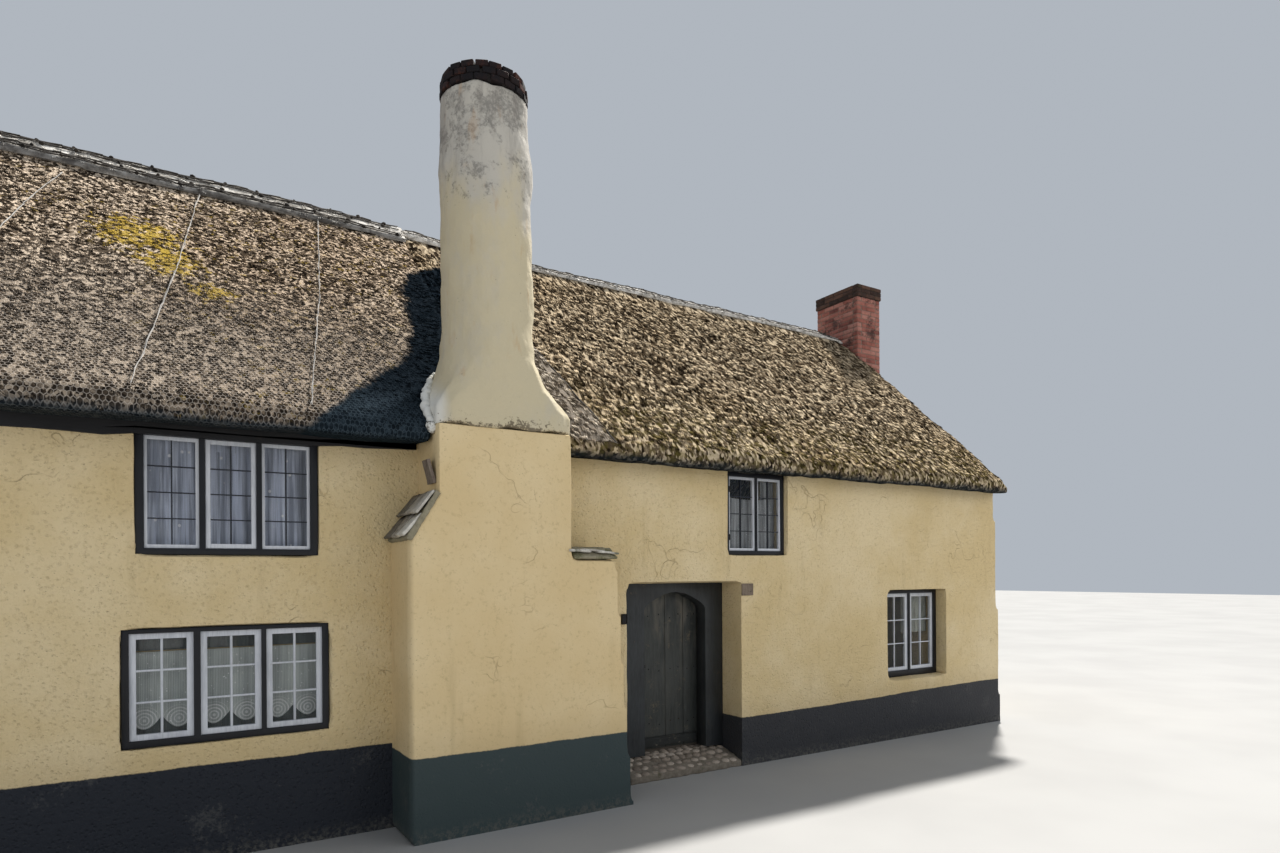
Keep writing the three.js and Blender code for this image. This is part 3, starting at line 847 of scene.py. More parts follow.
def applied(piece: Piece, kind: str, **settings: object) -> Piece:
    """Adds a modifier with these settings and applies it.

    Args:
        piece: The piece.
        kind: Which modifier.
        settings: The modifier's own options.

    Returns:
        The piece.
    """
    choose(piece)
    modifier = piece.modifiers.new(kind.lower(), kind)
    for key, value in settings.items():
        setattr(modifier, key, value)
    bpy.ops.object.modifier_apply(modifier=modifier.name)
    return piece


def block(name: str, low: Vector, high: Vector) -> Piece:
    """Adds a squared block between two corners, as a start for a piece.

    Args:
        name: The new piece's name.
        low: Its lowest corner.
        high: Its highest corner.

    Returns:
        The block, with its place in its mesh.
    """
    piece = primitive(bpy.ops.mesh.primitive_cube_add, size=1.0, location=(low + high) / 2)
    piece.name = name
    piece.scale = high - low
    return settle(piece)


def bevelled(piece: Piece, width: float, segments: int = 2) -> Piece:
    """Rounds the sharp edges of a piece."""
    sharp = math.radians(28)
    return applied(piece, "BEVEL", width=width, segments=segments, limit_method="ANGLE", angle_limit=sharp)


def smooth(piece: Piece, angle: float = 35.0) -> Piece:
    """Shades a piece smoothly, except over edges sharper than an angle in degrees."""
    choose(piece)
    bpy.ops.object.shade_smooth_by_angle(angle=math.radians(angle))
    return piece


def merged_copy(node: str, name: str) -> Piece:
    """Copies one CAD node with its doubles merged.

    Args:
        node: The CAD node.
        name: The copy's name.

    Returns:
        The copy.
    """
    work = bmesh.new()
    work.from_mesh(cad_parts[node].data)
    bmesh.ops.remove_doubles(work, verts=work.verts, dist=2e-5)
    mesh = bpy.data.meshes.new(name)
    work.to_mesh(mesh)
    work.free()
    return linked(name, mesh)


def united(name: str, nodes: Sequence[str]) -> Piece:
    """Copies several CAD nodes and joins them into one closed solid.

    Args:
        name: The solid's name.
        nodes: The CAD nodes.

    Returns:
        The solid.
    """
    base = merged_copy(nodes[0], name)
    for node in nodes[1:]:
        other = merged_copy(node, node + "_joined")
        applied(base, "BOOLEAN", operation="UNION", solver="EXACT", object=other)
        bpy.data.objects.remove(other)
    return base


def carved(piece: Piece, low: Vector, high: Vector) -> Piece:
    """Cuts a squared opening out of a closed piece.

    Args:
        piece: The piece.
        low: The opening's lowest corner.
        high: Its highest corner.

    Returns:
        The piece.
    """
    cutter = block("cutter", low, high)
    applied(piece, "BOOLEAN", operation="DIFFERENCE", solver="MANIFOLD", object=cutter)
    bpy.data.objects.remove(cutter)
    return piece


def listed(items: bpy.types.bpy_prop_collection, name: str, width: int = 3, kind: type = float) -> np.ndarray:
    """Reads one property of all the vertices, loops or faces of a mesh.

    Args:
        items: The vertices, loops or faces.
        name: The property.
        width: How many numbers each of them has.
        kind: What kind of numbers.

    Returns:
        One row to an item, or a plain list where the width is 1.
    """
    flat = np.empty(len(items) * width, dtype=kind)
    items.foreach_get(name, flat)
    return flat if width == 1 else flat.reshape(-1, width)


def corners(piece: Piece) -> np.ndarray:
    """Returns the places of a piece's vertices."""
    return listed(piece.data.vertices, "co")


def move_corners(piece: Piece, places: np.ndarray) -> None:
    """Puts a piece's vertices at new places."""
    piece.data.vertices.foreach_set("co", np.ascontiguousarray(places, dtype=np.float32).ravel())
    piece.data.update()


def outward(piece: Piece) -> np.ndarray:
    """Returns the outward direction at each vertex."""
    return listed(piece.data.vertices, "normal")


def lumps(places: np.ndarray, size: float, seed: int) -> np.ndarray:
    """Returns smooth seeded noise from -1 to 1 at each place.

    Args:
        places: Points, one to a row.
        size: The distance from one lump to the next, in metres.
        seed: Which noise.

    Returns:
        One value to a point.
    """
    scaled = places / size
    base = np.floor(scaled).astype(np.int64)
    part = scaled - base
    part = part * part * (3.0 - 2.0 * part)
    total = np.zeros(len(places))
    for corner in range(8):
        step = np.array([(corner >> axis) & 1 for axis in range(3)])
        mixed = np.bitwise_xor.reduce((base + step) * CELL_PRIMES, axis=1) ^ (seed * SEED_PRIME)
        mixed = (mixed ^ (mixed >> 13)) * MIXING_PRIME & 0xFFFFFFFF
        value = ((mixed ^ (mixed >> 16)) & 0xFFFF) / 32767.5 - 1.0
        weight = np.prod(np.where(step == 1, part, 1.0 - part), axis=1)
        total += value * weight
    return total


def reskinned(piece: Piece, spacing: float) -> Piece:
    """Gives a piece an even skin of small faces, which rounds its sharp edges a little."""
    return applied(piece, "REMESH", mode="VOXEL", voxel_size=spacing, use_smooth_shade=True)


def thinned(piece: Piece, unseen: Callable[[np.ndarray, np.ndarray], np.ndarray]) -> Piece:
    """Merges the flat faces of a piece where nobody sees them.

    Args:
        piece: The piece.
        unseen: Takes the faces' middles and normals, and says which faces are out of sight.

    Returns:
        The piece.
    """
    mesh = piece.data
    hidden = unseen(listed(mesh.polygons, "center"), listed(mesh.polygons, "normal"))
    sizes = listed(mesh.polygons, "loop_total", 1, np.int64)
    index = listed(mesh.loops, "vertex_index", 1, np.int64)
    seen = np.zeros(len(mesh.vertices), dtype=bool)
    seen[index[~np.repeat(hidden, sizes)]] = True
    group = piece.vertex_groups.new(name="unseen")
    group.add(np.flatnonzero(~seen).tolist(), 1.0, "ADD")
    share = float(hidden.mean())
    applied(piece, "DECIMATE", ratio=1.0 - 0.94 * share, vertex_group="unseen")
    piece.vertex_groups.clear()
    return piece


def relief(
    piece: Piece, waves: Iterable[tuple[float, float]], seed: int, mask: Callable | None = None
) -> Piece:
    """Moves a piece's skin in and out along its normals.

    Args:
        piece: The piece.
        waves: Pairs of lump size and height, in metres.
        seed: Which noise.
        mask: Takes the vertices' places and returns how much of the relief each one gets.

    Returns:
        The piece.
    """
    places = corners(piece)
    depth = np.zeros(len(places))
    for number, (size, height) in enumerate(waves):
        depth += lumps(places, size, seed + number) * height
    if mask is not None:
        depth *= mask(places)
    move_corners(piece, places + outward(piece) * depth[:, None])
    return piece


def marked(piece: Piece, name: str, values: np.ndarray) -> Piece:
    """Keeps one value on each vertex of a piece, for its finish to read."""
    mark = piece.data.attributes.new(name, "FLOAT", "POINT")
    mark.data.foreach_set("value", np.ascontiguousarray(values, dtype=np.float32))
    return piece


def stamped(name: str, pattern: Piece, places: Sequence, shades: Sequence) -> Piece:
    """Sets many copies of one small pattern into a single mesh.

    Args:
        name: The new piece's name.
        pattern: The shape to copy, drawn round the origin. It is removed afterwards.
        places: A 4 by 4 matrix for each copy.
        shades: A value from 0 to 1 for each copy, kept on the mesh as its shade.

    Returns:
        The new piece.
    """
    source = pattern.data
    source.calc_loop_triangles()
    points = corners(pattern)
    loops = listed(source.loop_triangles, "vertices", 3, np.int64).ravel()
    places = np.array(places)
    count, size = len(places), len(points)
    made = np.einsum("nij,pj->npi", places[:, :3, :3], points) + places[:, None, :3, 3]
    index = (loops[None, :] + (np.arange(count) * size)[:, None]).ravel()
    mesh = bpy.data.meshes.new(name)
    mesh.vertices.add(count * size)
    mesh.vertices.foreach_set("co", np.ascontiguousarray(made, dtype=np.float32).ravel())
    mesh.loops.add(len(index))
    mesh.loops.foreach_set("vertex_index", index.astype(np.int32))
    mesh.polygons.add(len(index) // 3)
    mesh.polygons.foreach_set("loop_start", np.arange(0, len(index), 3, dtype=np.int32))
    mesh.polygons.foreach_set("loop_total", np.full(len(index) // 3, 3, dtype=np.int32))
    mesh.update(calc_edges=True)
    mesh.validate()
    piece = linked(name, mesh)
    bpy.data.objects.remove(pattern)
    return marked(piece, "shade", np.repeat(shades, size))


def shaded_copy(piece: Piece, value: float) -> Piece:
    """Gives a whole piece one shade, for the finishes that vary from piece to piece."""
    return marked(piece, "shade", np.full(len(piece.data.vertices), value))


def joined(name: str, parts: Sequence[Piece]) -> Piece:
    """Joins several pieces into the first of them and names it.

    Args:
        name: The joined piece's name.
        parts: What is joined.

    Returns:
        The joined piece.
    """
    choose(parts[0])
    for part in parts[1:]:
        part.select_set(True)
    if len(parts) > 1:
        bpy.ops.object.join()
    parts[0].name = name
    return parts[0]


def rod(name: str, lines: Sequence[Sequence[Vector]], radius: float, sides: int = 6) -> Piece:
    """Runs a round rod along each of several lines of points.

    Args:
        name: The new piece's name.
        lines: The rods' middle lines.
        radius: Half their thickness.
        sides: How many sides they have.

    Returns:
        The rods as one mesh.
    """
    curve = bpy.data.curves.new(name, "CURVE")
    curve.dimensions = "3D"
    curve.bevel_depth = radius
    curve.bevel_resolution = max(0, sides // 2 - 2)
    curve.use_fill_caps = True
    for line in lines:
        spline = curve.splines.new("POLY")
        spline.points.add(len(line) - 1)
        for spot, point in zip(spline.points, line):
            spot.co = (*point, 1.0)
    choose(linked(name, curve))
    bpy.ops.object.convert(target="MESH")
    return bpy.context.active_object


def dressed(
    piece: Piece,
    material: bpy.types.Material,
    body: str = HOUSE,
    replaces: Sequence[str] = (),
) -> Piece:
    """Gives a finished piece its material and seats it on its CAD body.

    Args:
        piece: The finished piece.
        material: Its finish.
        body: The CAD body that it rides on.
        replaces: The CAD nodes that it stands for.

    Returns:
        The piece.
    """
    piece.data.materials.clear()
    piece.data.materials.append(material)
    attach(piece, body)
    if replaces:
        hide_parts(*replaces)
    log.info("%s: %d faces on %s", piece.name, len(piece.data.polygons), body)
    return piece


def scattered(
    piece: Piece, wanted: Callable[[np.ndarray, np.ndarray], np.ndarray], density: float, seed: int
) -> tuple[np.ndarray, np.ndarray]:
    """Picks places evenly over part of a piece's skin.

    Args:
        piece: The piece.
        wanted: Takes the faces' middles and normals, and says which faces are used.
        density: Places to a square metre.
        seed: Which draw.

    Returns:
        The places and the outward directions there.
    """
    draw = np.random.default_rng(seed)
    mesh = piece.data
    mesh.calc_loop_triangles()
    points = corners(piece)[listed(mesh.loop_triangles, "vertices", 3, np.int64)]
    across = np.cross(points[:, 1] - points[:, 0], points[:, 2] - points[:, 0])
    size = np.linalg.norm(across, axis=1) / 2
    facing = across / np.maximum(size[:, None] * 2, 1e-12)
    area = size * wanted(points.mean(axis=1), facing)
    number = int(area.sum() * density)
    faces = draw.choice(len(area), size=number, p=area / area.sum())
    u, v = draw.random(number), draw.random(number)
    flip = u + v > 1
    u[flip], v[flip] = 1 - u[flip], 1 - v[flip]
    a, b, c = (points[faces, corner] for corner in range(3))
    return a + (b - a) * u[:, None] + (c - a) * v[:, None], facing[faces]


def laid_down(
    places: np.ndarray, facing: np.ndarray, seed: int, tilt: tuple[float, float], turn: float,
    size: tuple[float, float],
) -> np.ndarray:
    """Works out how straw lies: down the slope, a little raised at its tip, and a little askew.

    Args:
        places: Where each tuft springs from.
        facing: The outward direction there.
        seed: Which draw.
        tilt: The least and most that a tip stands up from the slope, in degrees.
        turn: The most that a tuft swings to either side, in degrees.
        size: The least and most scale.

    Returns:
        A 4 by 4 matrix for each tuft, whose own X runs down the slope and Z outwards.
    """
    draw = np.random.default_rng(seed)
    count = len(places)
    down = np.tile([0.0, 0.0, -1.0], (count, 1)) + facing * 0.02
    down -= facing * np.sum(down * facing, axis=1, keepdims=True)
    down /= np.maximum(np.linalg.norm(down, axis=1, keepdims=True), 1e-9)
    side = np.cross(facing, down)
    swing = np.radians(draw.uniform(-turn, turn, count))[:, None]
    forward = down * np.cos(swing) + side * np.sin(swing)
    side = np.cross(facing, forward)
    rise = np.radians(draw.uniform(*tilt, count))[:, None]
    tip = forward * np.cos(rise) + facing * np.sin(rise)
    up = np.cross(tip, side)
    scale = draw.uniform(*size, count)[:, None]
    made = np.zeros((count, 4, 4))
    for column, axis in enumerate((tip, side, up)):
        made[:, :3, column] = axis * scale
    made[:, :3, 3] = places
    made[:, 3, 3] = 1.0
    return made


# Stage


@dataclass
class Stage:
    """Plain pale floor, soft light, and the camera at the photograph's place."""

    eye: Vec3 = (0.0, -7.2, 2.30)
    heading: float = 32.1  # degrees to the right of square on to the street front
    roll: float = -0.35
    lens: float = 21.9
    rise: float = 0.1145
    sun_from: Vec3 = (0.476, 0.328, 0.816)
    sun: float = 8.0
    sky: Colour = (0.70, 0.76, 0.84)

    def build(self) -> None:
        """Builds the floor, the lights and the camera."""
        self._floor()
        self._lights()
        self._camera()

    def _floor(self) -> None:
        """Lays a plain pale floor under the house."""
        floor = primitive(bpy.ops.mesh.primitive_plane_add, size=160.0, location=(0, 0, 0))
        floor.name = "studio_floor"
        material, graph, shader = new_material("studio_floor", Roughness=0.95)
        soft = graph.place().noise(0.4, 3.0)
        tone = graph.mix(soft.band(0.3, 0.7), (0.295, 0.295, 0.293), (0.325, 0.325, 0.322))
        graph.feed(shader, {"Base Color": tone})
        floor.data.materials.append(material)

    def _lights(self) -> None:
        """Sets a soft high light behind the right end, an even sky and a wide front fill."""
        world = bpy.data.worlds.new("studio")
        bpy.context.scene.world = world
        world.use_nodes = True
        ground = world.node_tree.nodes["Background"]
        ground.inputs["Color"].default_value = (*self.sky, 1.0)
        ground.inputs["Strength"].default_value = 0.62
        sun = bpy.data.lights.new("high_light", "SUN")
        sun.energy = self.sun
        sun.angle = math.radians(4.0)
        sun.color = (1.0, 0.96, 0.90)
        lamp = linked("high_light", sun)
        lamp.rotation_euler = Vector(self.sun_from).to_track_quat("Z", "Y").to_euler()
        self._fill("front_fill", at(16.0, -15.0, 9.0), (16.0, 9.0), 875.0)
        self._fill("left_fill", at(-10.0, -12.5, 4.5), (10.0, 6.0), 310.0)
        bpy.context.scene.view_settings.view_transform = "Standard"

    def _fill(self, name: str, place: Vector, size: tuple[float, float], power: float) -> None:
        """Hangs a wide soft lamp that faces the street front and shows in no reflection.

        Args:
            name: The lamp's name.
            place: Where it hangs.
            size: Its width and height.
            power: Its strength in watts.
        """
        fill = bpy.data.lights.new(name, "AREA")
        fill.shape = "RECTANGLE"
        fill.size, fill.size_y = size
        fill.energy = power
        fill.color = (1.0, 0.97, 0.93)
        lamp = linked(name, fill)
        lamp.location = place
        lamp.rotation_euler = (at(4.0, 0.0, 2.5) - place).to_track_quat("-Z", "Y").to_euler()
        lamp.visible_glossy = False

    def _camera(self) -> None:
        """Places the level camera, raised by a small shift as the photograph is."""
        data = bpy.data.cameras.new("view")
        data.sensor_width = 36.0
        data.lens = self.lens
        data.shift_y = self.rise
        data.clip_end = 400.0
        camera = linked("view", data)
        turn = (
            Matrix.Rotation(math.radians(-self.heading), 4, "Z")
            @ Matrix.Rotation(math.radians(90.0), 4, "X")
            @ Matrix.Rotation(math.radians(self.roll), 4, "Z")
        )
        camera.matrix_world = Matrix.Translation(at(*self.eye)) @ turn
        bpy.context.scene.camera = camera


# Walls


@dataclass
class Walls:
    """The limewashed cob walls, rounded at their corners and uneven all over."""

    shell: tuple[str, ...] = (
        "front_wall_left", "front_wall_over_door", "front_wall_right",
        "gable_wall", "party_wall", "back_wall",
    )
    spacing: float = 0.050
    surround: tuple[float, float, float, float] = (8.30, 10.05, 0.66, 2.27)
    surround_proud: float = 0.010
    breast_spacing: float = 0.034
    finish: Limewash = field(default_factory=lambda: Limewash("cream_limewash"))

    def build(self) -> None:
        """Builds the shell of the house and the front of the chimney breast."""
        self._shell()
        self._breast()

    def _shell(self) -> None:
        """Makes one uneven shell out of the six walls."""
        piece = united("limewashed_walls", self.shell)
        reskinned(piece, self.spacing)
        for low, high in self._openings():
            carved(piece, low, high)
        inside_low, inside_high = np.array(at(-2.32, 0.25, -1.0)), np.array(at(10.62, 5.45, 6.1))

        def unseen(middles: np.ndarray, normals: np.ndarray) -> np.ndarray:
            """Tells the faces of the rooms, the wall tops and the ground face from the rest."""
            inner = np.all((middles > inside_low) & (middles < inside_high), axis=1)
            under = (middles[:, 2] < 0.02) & (normals[:, 2] < -0.9)
            return inner | under | (middles[:, 2] > WALL_HEAD)

        thinned(piece, unseen)

        def outside(places: np.ndarray) -> np.ndarray:
            """Leaves the rooms, the foot and the wall tops as they are."""
            inner = np.all((places > inside_low) & (places < inside_high), axis=1)
            held = inner | (places[:, 2] < 0.03) | (places[:, 2] > WALL_HEAD - 0.01)
            return np.where(held, 0.0, 1.0)

        relief(piece, ((1.1, 0.007), (0.32, 0.004), (0.13, 0.0032)), 11, outside)
        self._raise_surround(piece)
        dressed(smooth(piece, 60), self.finish.make(), replaces=self.shell)

    def _openings(self) -> list[tuple[Vector, Vector]]:
        """Returns the lowest and highest corners of the squared openings, right through the walls.

        Returns:
            The openings.
        """
        front, back = at(0, -0.2, 0).y, at(0, 0.7, 0).y
        spans = [(Vector((at(4.38, 0, 0).x, front, -0.2)), Vector((at(5.93, 0, 0).x, back, 2.18)))]
        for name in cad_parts:
            if not name.endswith("_frame") or "window" not in name:
                continue
            low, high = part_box(name)
            if low.y > 0:
                front, back = at(0, 5.0, 0).y, at(0, 6.0, 0).y
            else:
                front, back = at(0, -0.2, 0).y, at(0, 0.7, 0).y
            spans.append((Vector((low.x, front, low.z)), Vector((high.x, back, high.z))))
        return spans

    def _raise_surround(self, piece: Piece) -> None:
        """Raises the smooth band of render round the lower right window.

        Args:
            piece: The shell of the walls.
        """
        places = corners(piece)
        left, right, foot, top = self.surround
        x, y, z = places[:, 0] + DRAWN_X, places[:, 1] + DRAWN_Y, places[:, 2]
        inside = np.minimum.reduce([x - left, right - x, z - foot, top - z])
        lift = np.clip(inside / 0.05, 0.0, 1.0) * (np.abs(y) < 0.03)
        places[:, 1] -= lift * self.surround_proud
        move_corners(piece, places)

    def _breast(self) -> None:
        """Builds the broad chimney breast, let a little into the wall behind it."""
        piece = merged_copy("chimney_breast", "chimney_breast_render")
        places = corners(piece)
        places[:, 1] += (places[:, 1] > -DRAWN_Y - 0.01) * 0.06
        move_corners(piece, places)
        reskinned(piece, self.breast_spacing)

        def free(spots: np.ndarray) -> np.ndarray:
            """Leaves the back, the foot and the top as they are."""
            held = (spots[:, 1] > -DRAWN_Y - 0.01) | (spots[:, 2] < 0.03) | (spots[:, 2] > 3.58)
            return np.where(held, 0.0, 1.0)

        relief(piece, ((0.9, 0.008), (0.3, 0.004), (0.10, 0.0016)), 31, free)
        finish = Limewash(
            "breast_limewash", cream=(0.62, 0.48, 0.265), pale=(0.67, 0.54, 0.325),
            foot=(0.036, 0.052, 0.054), foot_right=(0.036, 0.052, 0.054), rough=0.45,
            pimples=0.006, foot_line=(0.715, 0.715),
        )
        dressed(smooth(piece, 60), finish.make(), replaces=("chimney_breast",))


@dataclass
class FrontChimney:
    """The round shaft with its flared foot, and the sooty ring of bricks on top."""

    spacing: float = 0.024
    hem: float = 0.016
    bricks: int = 19
    courses: tuple[float, ...] = (0.0, 0.064, 0.128)

    def build(self) -> None:
        """Builds the shaft and the brick ring."""
        self._shaft()
        self._ring()

    def _shaft(self) -> None:
        """Makes the lumpy shaft with its ragged lower hem."""
        piece = united("chimney_shaft_render", ("chimney_flare", "chimney_shaft"))
        reskinned(piece, self.spacing)
        relief(piece, ((0.55, 0.014), (0.2, 0.009), (0.09, 0.0055), (0.05, 0.0025)), 51, self._free)
        places = corners(piece)
        low = np.clip(1.0 - (places[:, 2] - BREAST_HEAD) / 0.09, 0.0, 1.0)
        ragged = lumps(places * (1.0, 1.0, 0.0), 0.11, 61) * self.hem
        places[:, 2] += ragged * low
        rim = np.clip((places[:, 2] - SHAFT_RIM) / 0.09, 0.0, 1.0)
        places[:, 2] += lumps(places * (1.0, 1.0, 0.0), 0.14, 63) * 0.014 * rim
        # A thick lump of render stands out near the top of the shaft's right side.
        lump = np.linalg.norm((places - np.array(at(3.08, -0.34, 6.05))) / np.array([0.2, 0.3, 0.24]), axis=1)
        places += outward(piece) * (np.clip(1.0 - lump, 0.0, 1.0) ** 0.7 * 0.028)[:, None]
        move_corners(piece, places)
        dressed(
            smooth(piece, 60), ShaftWash().make(),
            replaces=("chimney_flare", "chimney_shaft"),
        )

    def _free(self, spots: np.ndarray) -> np.ndarray:
        """Leaves the flue and the bed on the breast as they are."""
        middle = np.array(at(2.685, -0.21, 0.0))[:2]
        flue = np.linalg.norm(spots[:, :2] - middle, axis=1) < 0.26
        return np.where(flue | (spots[:, 2] < BREAST_HEAD - 0.005), 0.0, 1.0)

    def _ring(self) -> None:
        """Sets the rings of soot-blackened bricks round the flue."""
        low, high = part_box("chimney_cap")
        middle = (low + high) / 2
        outer = (high.x - low.x) / 2
        draw = np.random.default_rng(81)
        brick = block("cap_brick", Vector((-0.058, -0.078, 0.0)), Vector((0.058, 0.078, 0.056)))
        subdivided(brick, 1, fractal=0.35, seed=5)
        bevelled(brick, 0.006, 1)
        places, shades = [], []
        for course, height in enumerate(self.courses):
            inset = (0.082, 0.084, 0.098)[course]
            for number in range(self.bricks):
                missing = course == 2 and draw.random() < 0.34
                if missing:
                    continue
                turn = 2 * math.pi * (number + 0.5 * (course % 2)) / self.bricks
                turn += draw.uniform(-0.02, 0.02)
                reach = outer - inset + draw.uniform(-0.008, 0.004)
                spot = Matrix.Translation(
                    (middle.x + reach * math.cos(turn), middle.y + reach * math.sin(turn), low.z + height)
                )
                tip = Matrix.Rotation(draw.uniform(-0.13, 0.13), 4, "Y")
                places.append(spot @ Matrix.Rotation(turn + math.pi / 2, 4, "Z") @ tip)
                shades.append(draw.random())
        ring = stamped("cap_bricks", brick, places, shades)
        soot = Masonry(
            "sooty_brick", ((0.008, 0.007, 0.008), (0.016, 0.010, 0.010), (0.095, 0.034, 0.022)),
            growth=(0.007, 0.007, 0.009), cover=0.56, size=8.0,
        ).make()
        dressed(smooth(ring, 40), soot)
        bed = merged_copy("chimney_cap", "cap_mortar")
        places = corners(bed)
        away = places[:, :2] - np.array([middle.x, middle.y])
        reach = np.linalg.norm(away, axis=1)
        wanted = np.where(reach > 0.33, reach - 0.022, reach + 0.012)
        places[:, :2] = np.array([middle.x, middle.y]) + away * (wanted / reach)[:, None]
        places[:, 2] = np.where(places[:, 2] > high.z - 0.01, high.z - 0.055, places[:, 2])
        move_corners(bed, places)
        reskinned(bed, 0.016)
        relief(bed, ((0.09, 0.008), (0.04, 0.005)), 83)
        mortar = Masonry(
            "sooty_mortar", ((0.012, 0.011, 0.011), (0.022, 0.019, 0.018), (0.05, 0.04, 0.035)),
            cover=0.5, size=20.0,
        ).make()
        dressed(smooth(shaded_copy(bed, 0.4), 60), mortar, replaces=("chimney_cap",))


# Thatch


class Slope(Enum):
    """Which side of the ridge a stretch of thatch faces."""

    FRONT = -1
    BACK = 1


@dataclass
class Thatch:
    """One half of the roof: its uneven body and the loose straw that covers it."""

    node: str
    body_finish: Straw
    tuft_finish: Straw
    slot: str
    waves: tuple[tuple[float, float], ...]
    density: dict[Slope, float]
    tilt: tuple[float, float]
    turn: float
    length: tuple[float, float]
    seed: int
    straws: int = 3
    reach: tuple[float, float] = (0.030, 0.060)
    spread: float = 40.0
    trimmed: bool = False  # whether the cut edge at the eave stays free of loose straw
    trim_height: float = 3.66
    thin_below: float = 0.0  # under this height the straw lies flush below the netting
    spacing: float = 0.052
    ridge_y: float = RIDGE_Y
    top: float = 6.30

    def build(self) -> None:
        """Builds the body and then the straw on each slope."""
        body = self._body()
        tufts = self.tuft_finish.make()
        for slope in Slope:
            piece = self._straw(body, slope)
            dressed(piece, tufts)

    def _body(self) -> Piece:
        """Makes the lumpy body that the straw lies on.

        Returns:
            The body.
        """
        piece = merged_copy(self.node, self.node + "_body")
        reskinned(piece, self.spacing)

        def unseen(middles: np.ndarray, normals: np.ndarray) -> np.ndarray:
            """Tells the faces that look down into the rooms or onto the walls."""
            over_rooms = (np.abs(middles[:, 1] - self.ridge_y) < 2.72) & (normals[:, 2] < 0.05)
            return over_rooms & (np.abs(normals[:, 0]) < 0.5)

        thinned(piece, unseen)

        def open_side(places: np.ndarray) -> np.ndarray:
            """Leaves what lies on the walls and the parting faces as they are."""
            held = (np.abs(places[:, 1] - self.ridge_y) < 2.78) & (outward(piece)[:, 2] < 0.1)
            return np.where(held, 0.0, 1.0)

        relief(piece, self.waves, self.seed, open_side)
        places = corners(piece)
        # Marks painted shade for the finish: the faces that look down under the eaves, and the painted shadow
        # beside the front chimney.
        eave = np.abs(places[:, 1] - self.ridge_y) > 2.8
        under = np.clip((-0.05 - outward(piece)[:, 2]) / 0.3, 0.0, 1.0) * eave
        marked(piece, "painted_shade", np.maximum(painted_chimney_shadow(places), under * 0.9))
        dressed(smooth(piece, 75), self.body_finish.make(), replaces=(self.node,))
        return piece

    def _straw(self, body: Piece, slope: Slope) -> Piece:
        """Covers one slope with tufts of straw that lie down it.

        Args:
            body: The thatch's body.
            slope: Which side of the ridge.

        Returns:
            The straw.
        """

        def wanted(middles: np.ndarray, normals: np.ndarray) -> np.ndarray:
            """Picks the weathered side of this slope and its cut edge.

            Args:
                middles: The faces' middles.
                normals: The faces' normals.

            Returns:
                How much each face is used.
            """
            side = (middles[:, 1] - self.ridge_y) * slope.value > 0
            out = (normals[:, 2] > 0.2) | ((normals[:, 1] * slope.value > 0.4) & (not self.trimmed))
            out &= (middles[:, 2] > self.trim_height) | (not self.trimmed)
            low = np.clip((middles[:, 2] - self.thin_below) / 0.9, 0.16, 1.0)
            return side * out * (middles[:, 2] < self.top) * low

        spots, facing = scattered(body, wanted, self.density[slope], self.seed + slope.value)
        laid = laid_down(spots, facing, self.seed + 7 * slope.value + 20, self.tilt, self.turn, self.length)
        draw = np.random.default_rng(self.seed + 3 * slope.value + 40)
        shade = draw.random(len(spots))
        # Tufts on the crest get pale shades, a painted highlight.
        shade = np.where(crest_highlight(spots), 0.75 + 0.25 * shade, shade)
        name = f"{self.node}_straw_{slope.name.lower()}"
        tuft = straw_tuft(self.seed, self.straws, self.reach, self.spread)
        size = len(tuft.data.vertices)
        piece = stamped(name, tuft, laid, shade)
        # The tufts in the painted shadow beside the front chimney are marked to turn dark as well.
        return marked(piece, "painted_shade", np.repeat(painted_chimney_shadow(spots), size))


SHADOW_EDGE = (
    (3.38, 0.98), (3.50, 1.04), (3.57, 1.11), (3.76, 1.31), (3.93, 1.49), (4.14, 1.73), (4.26, 1.92),
    (4.44, 2.04), (4.65, 2.17), (4.84, 2.23), (5.14, 2.25), (5.49, 2.33), (5.73, 2.46), (5.94, 2.77),
    (6.12, 3.05),
)  # the height and the drawing's X of the left edge of the painted shadow beside the front chimney
SHADOW_END = (3.3, 2.3, 6.12)  # where the painted shadow ends along the drawing's X, Y and Z
CREST_SPAN = (2.38, 3.05)  # where the painted highlight along the crest above it starts and ends along X
CREST_RISE = (2.50, 3.00), (5.71, 6.07)  # the X values and heights between which its foot rises
CREST_DEPTH = 0.11


def painted_chimney_shadow(places: np.ndarray) -> np.ndarray:
    """Tells how far each place lies in the painted shadow left of the front chimney, from 0 to 1.

    Args:
        places: Points in the row frame, one to a row.

    Returns:
        One value to a point.
    """
    heights, edge = zip(*SHADOW_EDGE)
    x, y, z = places[:, 0] + DRAWN_X, places[:, 1] + DRAWN_Y, places[:, 2]
    ragged = lumps(places, 0.16, 91) * 0.04
    inside = np.clip((x + ragged - np.interp(z, heights, edge)) / 0.05, 0.0, 1.0)
    return inside * (x < SHADOW_END[0]) * (y < SHADOW_END[1]) * (z < SHADOW_END[2])


def crest_highlight(places: np.ndarray) -> np.ndarray:
    """Tells which places lie on the painted highlight along the crest above the painted shadow.

    Args:
        places: Points in the row frame, one to a row.

    Returns:
        True or false for each point.
    """
    x, z = places[:, 0] + DRAWN_X, places[:, 2]
    away = z - np.interp(x, *CREST_RISE)
    inside = (x > CREST_SPAN[0]) & (x < CREST_SPAN[1]) & (places[:, 1] < 0)
    return inside & (away > -0.02) & (away < CREST_DEPTH)


